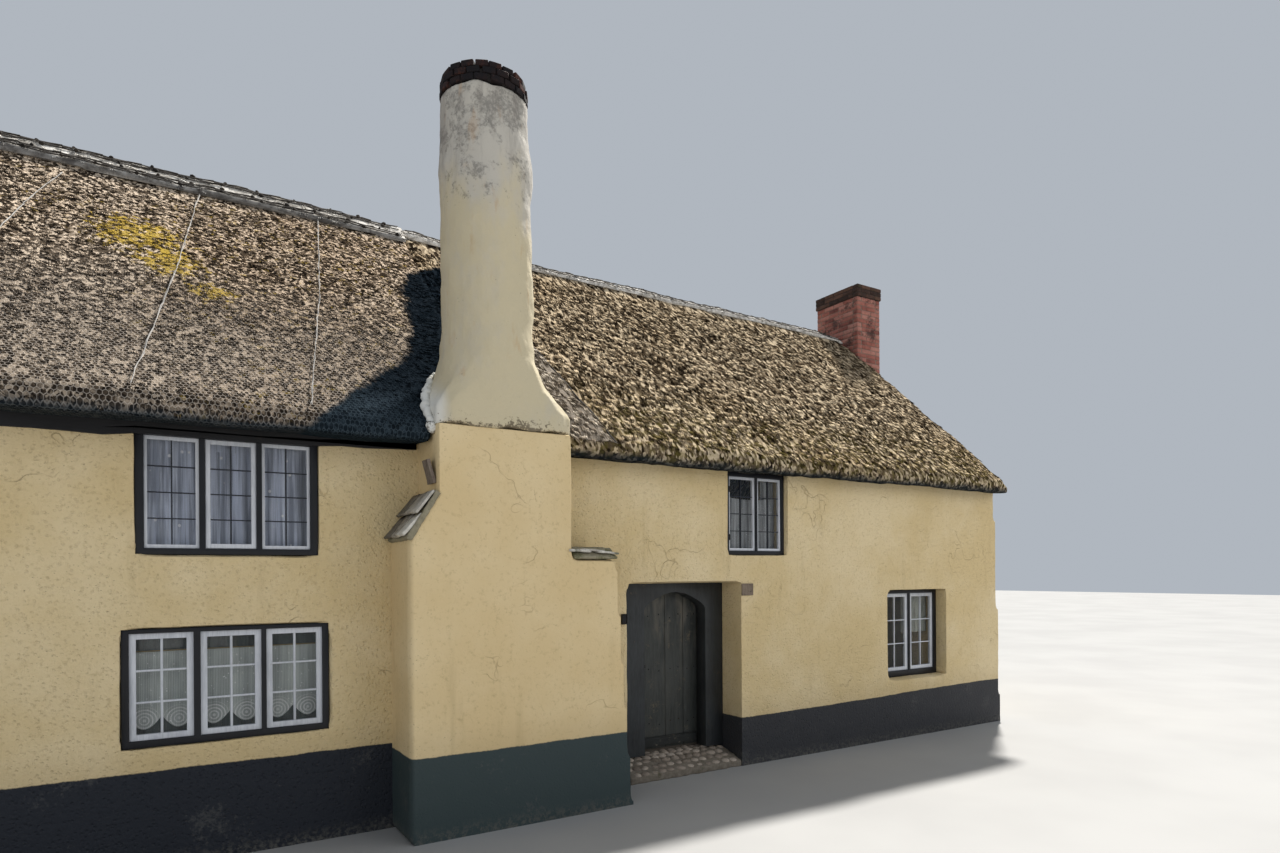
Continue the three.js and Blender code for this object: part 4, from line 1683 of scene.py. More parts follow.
class Skin:
    """The surface of a finished piece, found from above."""

    def __init__(self, piece: Piece) -> None:
        """Sorts the piece's faces for quick finding."""
        mesh = piece.data
        places = [vertex.co for vertex in mesh.vertices]
        self.tree = BVHTree.FromPolygons(places, [tuple(face.vertices) for face in mesh.polygons])

    def hit(self, start: Vector, way: Vector) -> Vector | None:
        """Returns where a straight line first meets the surface."""
        return self.tree.ray_cast(start, way)[0]

    def under(self, x: float, y: float, lift: float) -> Vector | None:
        """Returns the spot below a point of the plan, raised a little off the surface."""
        spot, normal, _, _ = self.tree.ray_cast(Vector((x, y, 9.0)), Vector((0, 0, -1)))
        return None if spot is None else spot + normal * lift

    def line(self, ends: Sequence[tuple[float, float]], lift: float, step: float = 0.12) -> list[Vector]:
        """Lays a line over the surface.

        Args:
            ends: The corners of the line in plan.
            lift: How far above the surface it runs.
            step: The distance between its points.

        Returns:
            The points of the line, without those that miss the surface.
        """
        spots = []
        for (x0, y0), (x1, y1) in zip(ends, ends[1:]):
            count = max(1, round(math.hypot(x1 - x0, y1 - y0) / step))
            for number in range(count + 1):
                part = number / count
                spots.append(self.under(x0 + (x1 - x0) * part, y0 + (y1 - y0) * part, lift))
        return [spot for spot in spots if spot is not None]


# Ridge


@dataclass
class RidgeRoll:
    """The pale roll of straw along the ridge, held down by rows of split rods."""

    node: str
    finish: Straw
    rows: tuple[float, ...]  # how far each row of rods lies from the ridge line, in plan
    crossed: tuple[tuple[float, float], ...]  # the pairs of rows that crossed rods run between
    knot_size: float
    seed: int
    pitch: float = 0.30
    radius: float = 0.008
    ridge_y: float = RIDGE_Y
    spacing: float = 0.032

    def build(self) -> None:
        """Builds the roll, its loose straw and its rods."""
        body = merged_copy(self.node, self.node + "_roll")
        reskinned(body, self.spacing)
        thinned(body, lambda middles, normals: normals[:, 2] < -0.3)
        relief(body, ((0.5, 0.012), (0.13, 0.009), (0.06, 0.005)), self.seed)
        places = corners(body)
        marked(body, "shade", 0.45 + 0.4 * lumps(places * (1.0, 0.4, 0.4), 0.045, self.seed + 2))
        dressed(smooth(body, 75), self.finish.make(), replaces=(self.node,))
        skin = Skin(body)
        self._loose_straw(body)
        self._rods(body, skin)
        if self.knot_size:
            self._knots(body, skin)

    def _loose_straw(self, body: Piece) -> None:
        """Covers the roll with short pale straw that lies down both slopes.

        Args:
            body: The roll's body.
        """
        spots, facing = scattered(body, lambda middles, normals: normals[:, 2] > 0.25, 170.0, self.seed)
        laid = laid_down(spots, facing, self.seed + 5, (-2.0, 7.0), 30.0, (0.6, 1.2))
        draw = np.random.default_rng(self.seed + 9)
        shade = np.clip(draw.normal(0.62, 0.2, len(spots)), 0.0, 1.0)
        straw = stamped(self.node + "_loose_straw", straw_tuft(self.seed), laid, shade)
        dressed(straw, self.finish.make())

    def _span(self, body: Piece) -> tuple[float, float]:
        """Returns where the rods begin and end along the ridge."""
        places = corners(body)[:, 0]
        return float(places.min()) + 0.06, float(places.max()) - 0.06

    def _rods(self, body: Piece, skin: Skin) -> None:
        """Lays the long rods and the crossed ones between them, on both slopes.

        Args:
            body: The roll's body.
            skin: Its surface.
        """
        left, right = self._span(body)
        lines = []
        for side in (-1, 1):
            for row in self.rows:
                y = self.ridge_y + side * row
                lines.append(skin.line(((left, y), (right, y)), 0.010, 0.16))
            for inner, outer in self.crossed:
                near, far = self.ridge_y + side * inner, self.ridge_y + side * outer
                x = left
                while x + self.pitch < right:
                    lines.append(skin.line(((x, near), (x + self.pitch, far)), 0.014, 0.10))
                    lines.append(skin.line(((x, far), (x + self.pitch, near)), 0.020, 0.10))
                    x += self.pitch
        rods = rod(self.node + "_rods", [line for line in lines if len(line) > 1], self.radius, 6)
        wood = Paint(
            self.node + "_split_rods", (0.050, 0.043, 0.037), (0.16, 0.145, 0.125), cover=0.45, gloss=0.9
        )
        dressed(smooth(rods, 60), wood.make())

    def _knots(self, body: Piece, skin: Skin) -> None:
        """Ties the rods down with dark twisted knots.

        Args:
            body: The roll's body.
            skin: Its surface.
        """
        left, right = self._span(body)
        draw = np.random.default_rng(self.seed + 3)
        knot = primitive(bpy.ops.mesh.primitive_ico_sphere_add, subdivisions=1, radius=1.0)
        places = []
        for side in (-1, 1):
            for row in self.rows:
                x = left + draw.uniform(0.0, self.pitch)
                while x < right:
                    spot = skin.under(x, self.ridge_y + side * row, 0.016)
                    if spot is not None:
                        size = self.knot_size * draw.uniform(0.7, 1.3)
                        turn = Matrix.Rotation(draw.uniform(0, 3), 4, "Z")
                        shape = Matrix.Diagonal((size * 1.3, size * 0.8, size, 1.0))
                        places.append(Matrix.Translation(spot) @ turn @ shape)
                    x += self.pitch * draw.uniform(0.8, 1.2)
        knots = stamped(self.node + "_knots", knot, places, draw.random(len(places)))
        dressed(knots, Masonry(
            self.node + "_knot_wood", ((0.010, 0.009, 0.008), (0.022, 0.018, 0.015), (0.05, 0.042, 0.034)),
        ).make())


@dataclass
class RoofTrim:
    """What lies on the left thatch and beside the chimney: wire seams, wedge, and a dark eaves board that
    partly stands for painted shade.
    """

    seams: tuple[tuple[Vec3, Vec3], ...] = (
        ((0.46, 2.47, 0.0), (-0.14, -0.50, 0.0)),
        ((1.67, 2.53, 0.0), (1.09, -0.50, 0.0)),
        ((-0.72, 2.30, 0.0), (-1.10, 0.90, 0.0)),
    )
    board_foot: float = 3.385
    board_top: float = 3.505

    def build(self) -> None:
        """Builds the seams, the mortar rim, the wedge and the board."""
        self._seams()
        self._rim()
        self._wedge()
        self._board()

    def _seams(self) -> None:
        """Runs the twisted wire where two widths of netting meet."""
        skin = Skin(bpy.data.objects["thatch_left_body"])
        draw = np.random.default_rng(201)
        lines = []
        for start, end in self.seams:
            first, last = at(*start), at(*end)
            middle = (first + last) / 2 + Vector((draw.uniform(-0.05, 0.05), 0, 0))
            ends = ((first.x, first.y), (middle.x, middle.y), (last.x, last.y))
            line = skin.line(ends, 0.022, 0.07)
            lines.append([spot + Vector(draw.uniform(-0.004, 0.004, 3)) for spot in line])
            lines.append([spot + Vector(draw.uniform(-0.009, 0.009, 3)) for spot in line])
        wires = rod("netting_seams", lines, 0.0030, 6)
        finish = Masonry(
            "old_wire", ((0.20, 0.19, 0.18), (0.34, 0.33, 0.31), (0.52, 0.50, 0.48)), cover=0.44, size=30.0,
            growth=(0.10, 0.09, 0.08),
        )
        dressed(smooth(shaded_copy(wires, 0.6), 60), finish.make())

    def _rim(self) -> None:
        """Lays the lumpy white mortar where the left of the flare meets the thatch."""
        thatch = Skin(bpy.data.objects["thatch_left_body"])
        flare = Skin(bpy.data.objects["chimney_shaft_render"])
        draw = np.random.default_rng(71)
        parts = []
        for z in np.linspace(3.57, 4.30, 26):
            slope = thatch.hit(at(1.99, -3.0, float(z)), Vector((0, 1, 0)))
            if slope is None:
                continue
            start = Vector((at(1.0, 0, 0).x, slope.y - 0.02, max(float(z), 3.66)))
            side = flare.hit(start, Vector((1, 0, 0)))
            if side is None:
                continue
            taper = min(1.0, (4.36 - float(z)) / 0.35)
            spot = Vector((side.x - 0.012 - draw.uniform(0.0, 0.022), slope.y - 0.012, float(z)))
            size = (0.040 + draw.uniform(-0.008, 0.014)) * taper
            parts.append(settle(primitive(
                bpy.ops.mesh.primitive_ico_sphere_add, subdivisions=2, radius=size, location=spot
            )))
        piece = joined("mortar_rim", parts)
        reskinned(piece, 0.011)
        relief(piece, ((0.045, 0.008), (0.022, 0.004)), 73)
        finish = ShaftWash("rim_wash", white=(0.64, 0.64, 0.61), cream=(0.62, 0.61, 0.56))
        dressed(smooth(piece, 60), finish.make())

    def _wedge(self) -> None:
        """Lays the smooth grey fillet between the flare and the right thatch."""
        skin = Skin(bpy.data.objects["thatch_right_body"])
        piece = primitive(bpy.ops.mesh.primitive_grid_add, x_subdivisions=10, y_subdivisions=40, size=2.0)
        piece.name = "chimney_fillet"
        places = corners(piece)
        across, up = (places[:, 0] + 1) / 2, (places[:, 1] + 1) / 2
        foot, top = at(0, -0.27, 0).y, at(0, 0.92, 0).y
        y = foot + (top - foot) * up
        left = at(3.42, 0, 0).x + up * 0.02
        right = at(4.06, 0, 0).x - up * 0.36
        x = left + (right - left) * across
        height = []
        for spot_x, spot_y, part in zip(x, y, across):
            spot = skin.under(float(spot_x), float(spot_y), 0.0)
            edge = 0.002 if part > 0.97 else 0.022 + 0.012 * (1 - part)
            height.append((spot.z if spot is not None else 3.6) + edge)
        z = np.array(height)
        z = z + lumps(np.column_stack([x, y, z]), 0.12, 205) * 0.004
        move_corners(piece, np.column_stack([x, y, z]))
        applied(piece, "SOLIDIFY", thickness=0.03, offset=-1.0)
        finish = Masonry(
            "grey_fillet", ((0.06, 0.048, 0.036), (0.15, 0.122, 0.092), (0.36, 0.30, 0.235)), cover=0.48,
            size=34.0, growth=(0.045, 0.036, 0.027), depth=0.016,
        )
        dressed(smooth(shaded_copy(piece, 0.5), 60), finish.make())
        spots, facing = scattered(piece, lambda middles, normals: normals[:, 2] > 0.3, 420.0, 209)
        laid = laid_down(spots, facing, 213, (-3.0, 5.0), 12.0, (0.7, 1.2))
        shade = np.random.default_rng(217).random(len(spots)) * 0.75 + 0.2
        straw = stamped("chimney_fillet_straw", straw_tuft(207, 3, (0.05, 0.11), 12.0), laid, shade)
        pale = Straw(
            "fillet_straw", (0.030, 0.024, 0.018), (0.19, 0.155, 0.12), (0.56, 0.50, 0.42),
            grain=(40.0, 12.0), shaded=True,
        )
        dressed(straw, pale.make())
        # Painted shade: a dark rod along the fillet's right edge stands for the shade in the groove there.
        edge = skin.line(((float(right[-1]), top), (at(4.07, 0, 0).x, foot)), 0.004, 0.10)
        shade_line = rod("chimney_fillet_edge", [edge], 0.011, 6)
        dark = Paint("fillet_edge_shade", (0.018, 0.015, 0.013), (0.05, 0.042, 0.035), cover=0.4, gloss=0.9)
        dressed(smooth(shade_line, 60), dark.make())

    def _board(self) -> None:
        """Fixes the dark board along the wall top under the left thatch; its black paint also stands for the
        shade under the eaves, as painted shade.
        """
        piece = block("eaves_board_and_shade", at(-2.49, -0.030, self.board_foot), at(2.075, 0.004, self.board_top))
        subdivided(piece, 20)
        places = corners(piece)
        low = places[:, 2] < (self.board_foot + self.board_top) / 2
        places[:, 2] += lumps(places * (1.0, 0.0, 0.0), 0.45, 211) * 0.012 * low
        rise = np.interp(places[:, 0] + DRAWN_X, (-0.2, -0.1, 1.2, 1.3), (0.0, 0.03, 0.03, 0.055))
        places[:, 2] += rise * low
        move_corners(piece, places)
        paint = Paint("eaves_paint_and_shade", (0.012, 0.012, 0.014), (0.045, 0.037, 0.03), along=(0.08, 1.0, 1.0))
        dressed(smooth(bevelled(piece, 0.003, 1), 40), paint.make())


# Windows


@dataclass
class Bars:
    """The glazing bars of a window and how its panes are set out."""

    columns: int
    rows: int
    width: float
    dark: bool = False


@dataclass
class Curtain:
    """One hanging cloth behind a window."""

    name: str
    left: float
    right: float
    top: float
    foot: float
    fold: float = 0.018
    folds: float = 9.0  # folds to a metre
    scallop: float = 0.0
    scallops: tuple[tuple[float, float], ...] = ()
    sag: float = 0.0


@dataclass
class WindowUnit:
    """A front window: black frame, white casements, bars, old panes and curtains behind."""

    name: str
    inset: float  # how far the frame's face lies behind the wall's face
    lights: tuple[tuple[float, float], ...]
    foot: float
    head: float
    stile: float
    rail: float
    bars: Bars
    seed: int
    net: Net
    curtains: tuple[Curtain, ...] = ()
    back_net: Net | None = None  # the cloth of the last curtain, where it differs
    curtain_y: float = 0.13
    heavy: tuple[int, ...] = ()  # the lights whose casements stand a little proud
    hinges: tuple[float, ...] = ()
    hinge_x: float = 0.0

    def build(self) -> None:
        """Builds the window from its frame inwards."""
        self._frame()
        self._casements()
        self._bars()
        self._panes()
        self._fittings()
        self._curtains()

    def _frame(self) -> None:
        """Makes the black frame with its mullions."""
        node = f"window_{self.name}_frame"
        piece = bevelled(merged_copy(node, node + "_timber"), 0.004, 2)
        paint = Paint(node + "_paint", (0.0055, 0.0065, 0.010), (0.045, 0.04, 0.037), cover=0.34, gloss=0.42)
        dressed(smooth(piece), paint.make(), replaces=(node,))

    def _casements(self) -> None:
        """Makes the white casements."""
        node = f"window_{self.name}_casements"
        piece = bevelled(merged_copy(node, node + "_timber"), 0.0035, 2)
        parts = [piece]
        front = self.inset + 0.016
        for number in self.heavy:
            left, right = self.lights[number]
            parts.append(framed(
                "heavy", at(left + 0.004, front, self.foot + 0.004),
                at(right - 0.004, front + 0.012, self.head - 0.004), self.stile + 0.010, self.rail + 0.006,
            ))
        piece = smooth(joined(piece.name, parts))
        dressed(piece, self._white("casement"), replaces=(node,))

    def _white(self, part: str) -> bpy.types.Material:
        """Returns the flaking white paint of this window.

        Args:
            part: Which part of the window it is for.

        Returns:
            The material.
        """
        name = f"window_{self.name}_{part}_paint"
        return Paint(
            name, (0.55, 0.57, 0.61), (0.20, 0.17, 0.14), cover=0.37, gloss=0.5, blotch=7.0
        ).make()

    def _openings(self) -> list[tuple[float, float, float, float]]:
        """Returns the daylight opening of each light: left, right, foot and head.

        Returns:
            The openings.
        """
        return [
            (left + self.stile, right - self.stile, self.foot + self.rail, self.head - self.rail)
            for left, right in self.lights
        ]

    def _grid(self, opening: tuple[float, float, float, float]) -> tuple[list[float], list[float]]:
        """Returns the lines that divide one opening into panes.

        Args:
            opening: The opening's left, right, foot and head.

        Returns:
            The lines' places across, and their heights.
        """
        left, right, foot, head = opening
        across = [left + (right - left) * n / self.bars.columns for n in range(self.bars.columns + 1)]
        up = [foot + (head - foot) * n / self.bars.rows for n in range(self.bars.rows + 1)]
        return across, up

    def _bars(self) -> None:
        """Sets the glazing bars into the casements."""
        half = self.bars.width / 2
        front, back = self.inset + 0.029, self.inset + 0.058
        parts = []
        for opening in self._openings():
            across, up = self._grid(opening)
            for x in across[1:-1]:
                low, high = at(x - half, front, up[0] - 0.003), at(x + half, back, up[-1] + 0.003)
                parts.append(bevelled(block("bar", low, high), half * 0.5, 1))
            for z in up[1:-1]:
                low = at(across[0] - 0.003, front + 0.001, z - half * 0.85)
                high = at(across[-1] + 0.003, back - 0.001, z + half * 0.85)
                parts.append(bevelled(block("bar", low, high), half * 0.4, 1))
        piece = smooth(joined(f"window_{self.name}_bars", parts))
        if self.bars.dark:
            paint = Paint(
                f"window_{self.name}_bar_paint", (0.030, 0.034, 0.042), (0.10, 0.10, 0.11), gloss=0.5
            )
            dressed(piece, paint.make())
        else:
            dressed(piece, self._white("bar"))

    def _panes(self) -> None:
        """Sets a separate pane, a little out of true, into each square."""
        draw = np.random.default_rng(self.seed)
        parts = []
        for opening in self._openings():
            across, up = self._grid(opening)
            for left, right in zip(across, across[1:]):
                for foot, head in zip(up, up[1:]):
                    y = self.inset + 0.046
                    low, high = at(left - 0.003, y, foot - 0.003), at(right + 0.003, y + 0.003, head + 0.003)
                    pane = block("pane", low, high)
                    middle = at((left + right) / 2, y, (foot + head) / 2)
                    turn = Matrix.Rotation(math.radians(draw.uniform(-0.9, 0.9)), 4, "X")
                    turn = turn @ Matrix.Rotation(math.radians(draw.uniform(-0.9, 0.9)), 4, "Z")
                    pane.data.transform(Matrix.Translation(middle) @ turn @ Matrix.Translation(-middle))
                    parts.append(pane)
        piece = joined(f"window_{self.name}_panes", parts)
        dressed(piece, OldGlass(f"window_{self.name}_old_glass").make(),
                replaces=(f"window_{self.name}_glass",))

    def _fittings(self) -> None:
        """Adds the small black hinges on the outer stile."""
        if not self.hinges:
            return
        parts = []
        for z in self.hinges:
            y = self.inset + 0.004
            low, high = at(self.hinge_x - 0.008, y, z - 0.032), at(self.hinge_x + 0.022, y + 0.014, z + 0.032)
            parts.append(bevelled(block("hinge", low, high), 0.003, 1))
            line = [at(self.hinge_x, y, z - 0.036), at(self.hinge_x, y, z + 0.036)]
            parts.append(rod("hinge_pin", [line], 0.008, 8))
        piece = joined(f"window_{self.name}_hinges", parts)
        dressed(smooth(piece), Iron(f"window_{self.name}_iron").make())

    def _curtains(self) -> None:
        """Hangs the curtains on their rods."""
        if not self.curtains:
            return
        materials = [self.net.make()] * len(self.curtains)
        if self.back_net is not None:
            materials[-1] = self.back_net.make()
        for number, (curtain, material) in enumerate(zip(self.curtains, materials)):
            y = self.inset + self.curtain_y + 0.035 * number
            line = [at(curtain.left - 0.02, y, curtain.top), at(curtain.right + 0.02, y, curtain.top)]
            bar = smooth(rod(f"{curtain.name}_rod", [line], 0.005, 8), 50)
            brass = Iron(f"{curtain.name}_rod_brass", (0.30, 0.22, 0.09), (0.12, 0.08, 0.03))
            dressed(bar, brass.make())
            hang(curtain, y, material, self.seed + number)


def framed(name: str, low: Vector, high: Vector, stile: float, rail: float) -> Piece:
    """Builds a rectangular frame of two stiles and two rails.

    Args:
        name: The new piece's name.
        low: Its lowest corner.
        high: Its highest corner.
        stile: The width of the upright pieces.
        rail: The height of the level pieces.

    Returns:
        The frame, with softened edges.
    """
    parts = []
    for left, right in ((low.x, low.x + stile), (high.x - stile, high.x)):
        parts.append(block(name, Vector((left, low.y, low.z)), Vector((right, high.y, high.z))))
    for foot, head in ((low.z, low.z + rail), (high.z - rail, high.z)):
        start = Vector((low.x + stile, low.y, foot))
        parts.append(block(name, start, Vector((high.x - stile, high.y, head))))
    for part in parts:
        bevelled(part, 0.002, 1)
    return joined(name, parts)


def hang(curtain: Curtain, y: float, material: bpy.types.Material, seed: int) -> Piece:
    """Hangs one gathered cloth from its rod.

    Args:
        curtain: The cloth's place, size and folds.
        y: How far behind the wall's face it hangs.
        material: Its finish.
        seed: Which draw of folds.

    Returns:
        The cloth.
    """
    columns = max(24, round((curtain.right - curtain.left) * curtain.folds * 14))
    grid_add = bpy.ops.mesh.primitive_grid_add
    piece = primitive(grid_add, x_subdivisions=columns, y_subdivisions=26, size=2.0)
    piece.name = curtain.name
    grid = corners(piece)
    across, up = (grid[:, 0] + 1) / 2, (grid[:, 1] + 1) / 2
    span = curtain.right - curtain.left
    x = curtain.left + span * across
    drift = lumps(np.column_stack([x, x * 0, x * 0]), 0.13, seed) * 0.9
    phase = x * curtain.folds * 2 * math.pi + drift * 2.0
    hold = np.clip((1.0 - up) / 0.06, 0.35, 1.0)
    wave = np.sin(phase) * (0.75 + 0.25 * lumps(np.column_stack([x, x * 0, x * 0]), 0.2, seed + 1))
    depth = wave * curtain.fold * hold
    foot = np.full(len(x), curtain.foot)
    for left, right in curtain.scallops:
        inside = (x >= left) & (x <= right)
        part = np.clip((x - left) / (right - left), 0.0, 1.0)
        foot = np.where(inside, curtain.foot + curtain.scallop * (1.0 - np.sin(part * math.pi)), foot)
    z = foot + (curtain.top - foot) * up
    z = z - curtain.sag * np.sin(across * math.pi) * np.clip((up - 0.5) * 2, 0.0, 1.0)
    depth_y = y - DRAWN_Y + 0.014 + depth
    move_corners(piece, np.column_stack([x - DRAWN_X, depth_y, z]))
    order = np.argsort(across, kind="stable")
    row = order[np.isclose(up[order], up.min())]
    steps = np.hypot(np.diff(x[row]), np.diff(depth[row]))
    arc = np.concatenate([[0.0], np.cumsum(steps)])
    flat_x = np.interp(x, x[row], arc)
    loops = listed(piece.data.loops, "vertex_index", 1, np.int64)
    layouts = {"cloth": np.column_stack([flat_x, curtain.top - z])}
    if curtain.scallops:
        middles = np.array([(left + right) / 2 for left, right in curtain.scallops])
        nearest = middles[np.argmin(np.abs(x[:, None] - middles[None, :]), axis=1)]
        layouts["rings"] = np.column_stack([x - nearest, z - curtain.foot - 0.07])
    while piece.data.uv_layers:
        piece.data.uv_layers.remove(piece.data.uv_layers[0])
    for name, spots in layouts.items():
        layer = piece.data.uv_layers.new(name=name)
        layer.data.foreach_set("uv", np.ascontiguousarray(spots[loops], dtype=np.float32).ravel())
    dressed(smooth(piece, 180), material)
    heights = (curtain.top - foot)[row]
    area = float(np.sum((heights[1:] + heights[:-1]) / 2 * np.diff(arc)))
    log.info("%s cut: %.3f by %.3f, %.4f", piece.name, arc[-1], curtain.top - curtain.foot, area)
    curtain.top - curtain.foot
    return piece


def front_windows() -> list[WindowUnit]:
    """Returns the four windows of the street front.

    Returns:
        The windows.
    """
    lavender = Net("lavender_net", (0.72, 0.78, 0.93), alpha=(0.84, 1.0), fold_shade=0.75)
    lace = Net("green_grey_lace", (0.60, 0.65, 0.62), alpha=(0.72, 0.96), dots=30.0, fold_shade=0.35, ringed=True)
    grey = Net("grey_net", (0.54, 0.56, 0.57), alpha=(0.68, 0.98), dots=40.0, fold_shade=0.7)
    dim = Net("dim_net", (0.48, 0.50, 0.44), alpha=(0.68, 0.98), dots=40.0, fold_shade=0.5)
    lower_left_lights = ((-0.155, 0.284), (0.333, 0.778), (0.816, 1.260))
    scallops = []
    for left, right in lower_left_lights:
        middle = (left + right) / 2
        scallops += [(left - 0.02, middle), (middle, right + 0.02)]
    return [
        WindowUnit(
            "upper_left", 0.015, ((-0.050, 0.329), (0.372, 0.747), (0.789, 1.167)), 2.520, 3.410,
            0.024, 0.030, Bars(2, 4, 0.011, dark=True), 301, lavender,
            (
                Curtain("upper_left_net", -0.04, 1.16, 3.40, 2.50, 0.024, 9.0),
                Curtain("upper_left_inner_net", 0.15, 0.62, 3.39, 2.52, 0.026, 8.0),
            ),
            heavy=(1,),
        ),
        WindowUnit(
            "lower_left", 0.020, lower_left_lights, 1.010, 1.850,
            0.048, 0.046, Bars(2, 3, 0.019), 311, lace,
            (
                Curtain("lower_left_lace", -0.175, 1.28, 1.70, 1.075, 0.008, 6.0, scallop=0.10,
                        scallops=tuple(scallops)),
                Curtain("lower_left_back_cloth", -0.18, 1.29, 1.865, 0.97, 0.016, 7.0),
            ),
            back_net=Net("dark_green_cloth", (0.085, 0.105, 0.10), alpha=(0.9, 1.0), dots=60.0, fold_shade=0.4),
        ),
        WindowUnit(
            "upper_right", 0.045, ((5.795, 6.203), (6.235, 6.620)), 2.560, 3.445,
            0.028, 0.030, Bars(2, 4, 0.012, dark=True), 321, grey,
            (
                Curtain("upper_right_net", 5.79, 6.62, 3.22, 2.55, 0.014, 10.0, sag=0.03),
                Curtain("upper_right_side_net", 6.44, 6.64, 3.43, 2.55, 0.020, 14.0),
            ),
            hinges=(2.72, 3.29), hinge_x=5.797,
        ),
        WindowUnit(
            "lower_right", 0.150, ((8.590, 9.110), (9.150, 9.660)), 0.905, 1.990,
            0.050, 0.048, Bars(2, 3, 0.017), 331, dim,
            (Curtain("lower_right_net", 9.13, 9.68, 1.97, 1.42, 0.012, 9.0),),
        ),
    ]


@dataclass
class BackWindow:
    """A plain casement window of the back wall, a guess in the manner of the front ones."""

    name: str
    rows: int = 3

    def build(self) -> None:
        """Builds the frame, its bars and its panes."""
        node = f"back_window_{self.name}_frame"
        frame_piece = bevelled(merged_copy(node, node + "_timber"), 0.004, 2)
        white = Paint(f"back_{self.name}_paint", (0.60, 0.585, 0.57), (0.2, 0.17, 0.14), cover=0.36)
        dressed(smooth(frame_piece), white.make(), replaces=(node,))
        glass = f"back_window_{self.name}_glass"
        low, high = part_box(glass)
        parts = []
        middle = (low.x + high.x) / 2
        for left, right in ((low.x, middle), (middle, high.x)):
            for number in range(1, self.rows):
                z = low.z + (high.z - low.z) * number / self.rows
                start = Vector((left, high.y - 0.004, z - 0.009))
                end = Vector((right, high.y + 0.030, z + 0.009))
                parts.append(bevelled(block("bar", start, end), 0.004, 1))
            x = (left + right) / 2
            start = Vector((x - 0.009, high.y - 0.004, low.z))
            end = Vector((x + 0.009, high.y + 0.032, high.z))
            parts.append(bevelled(block("bar", start, end), 0.004, 1))
        bars = smooth(joined(f"back_window_{self.name}_bars", parts))
        dressed(bars, white.make())
        pane = merged_copy(glass, f"back_window_{self.name}_pane")
        old_glass = OldGlass(f"back_{self.name}_old_glass")
        dressed(bevelled(pane, 0.001, 1), old_glass.make(), replaces=(glass,))


# Front door


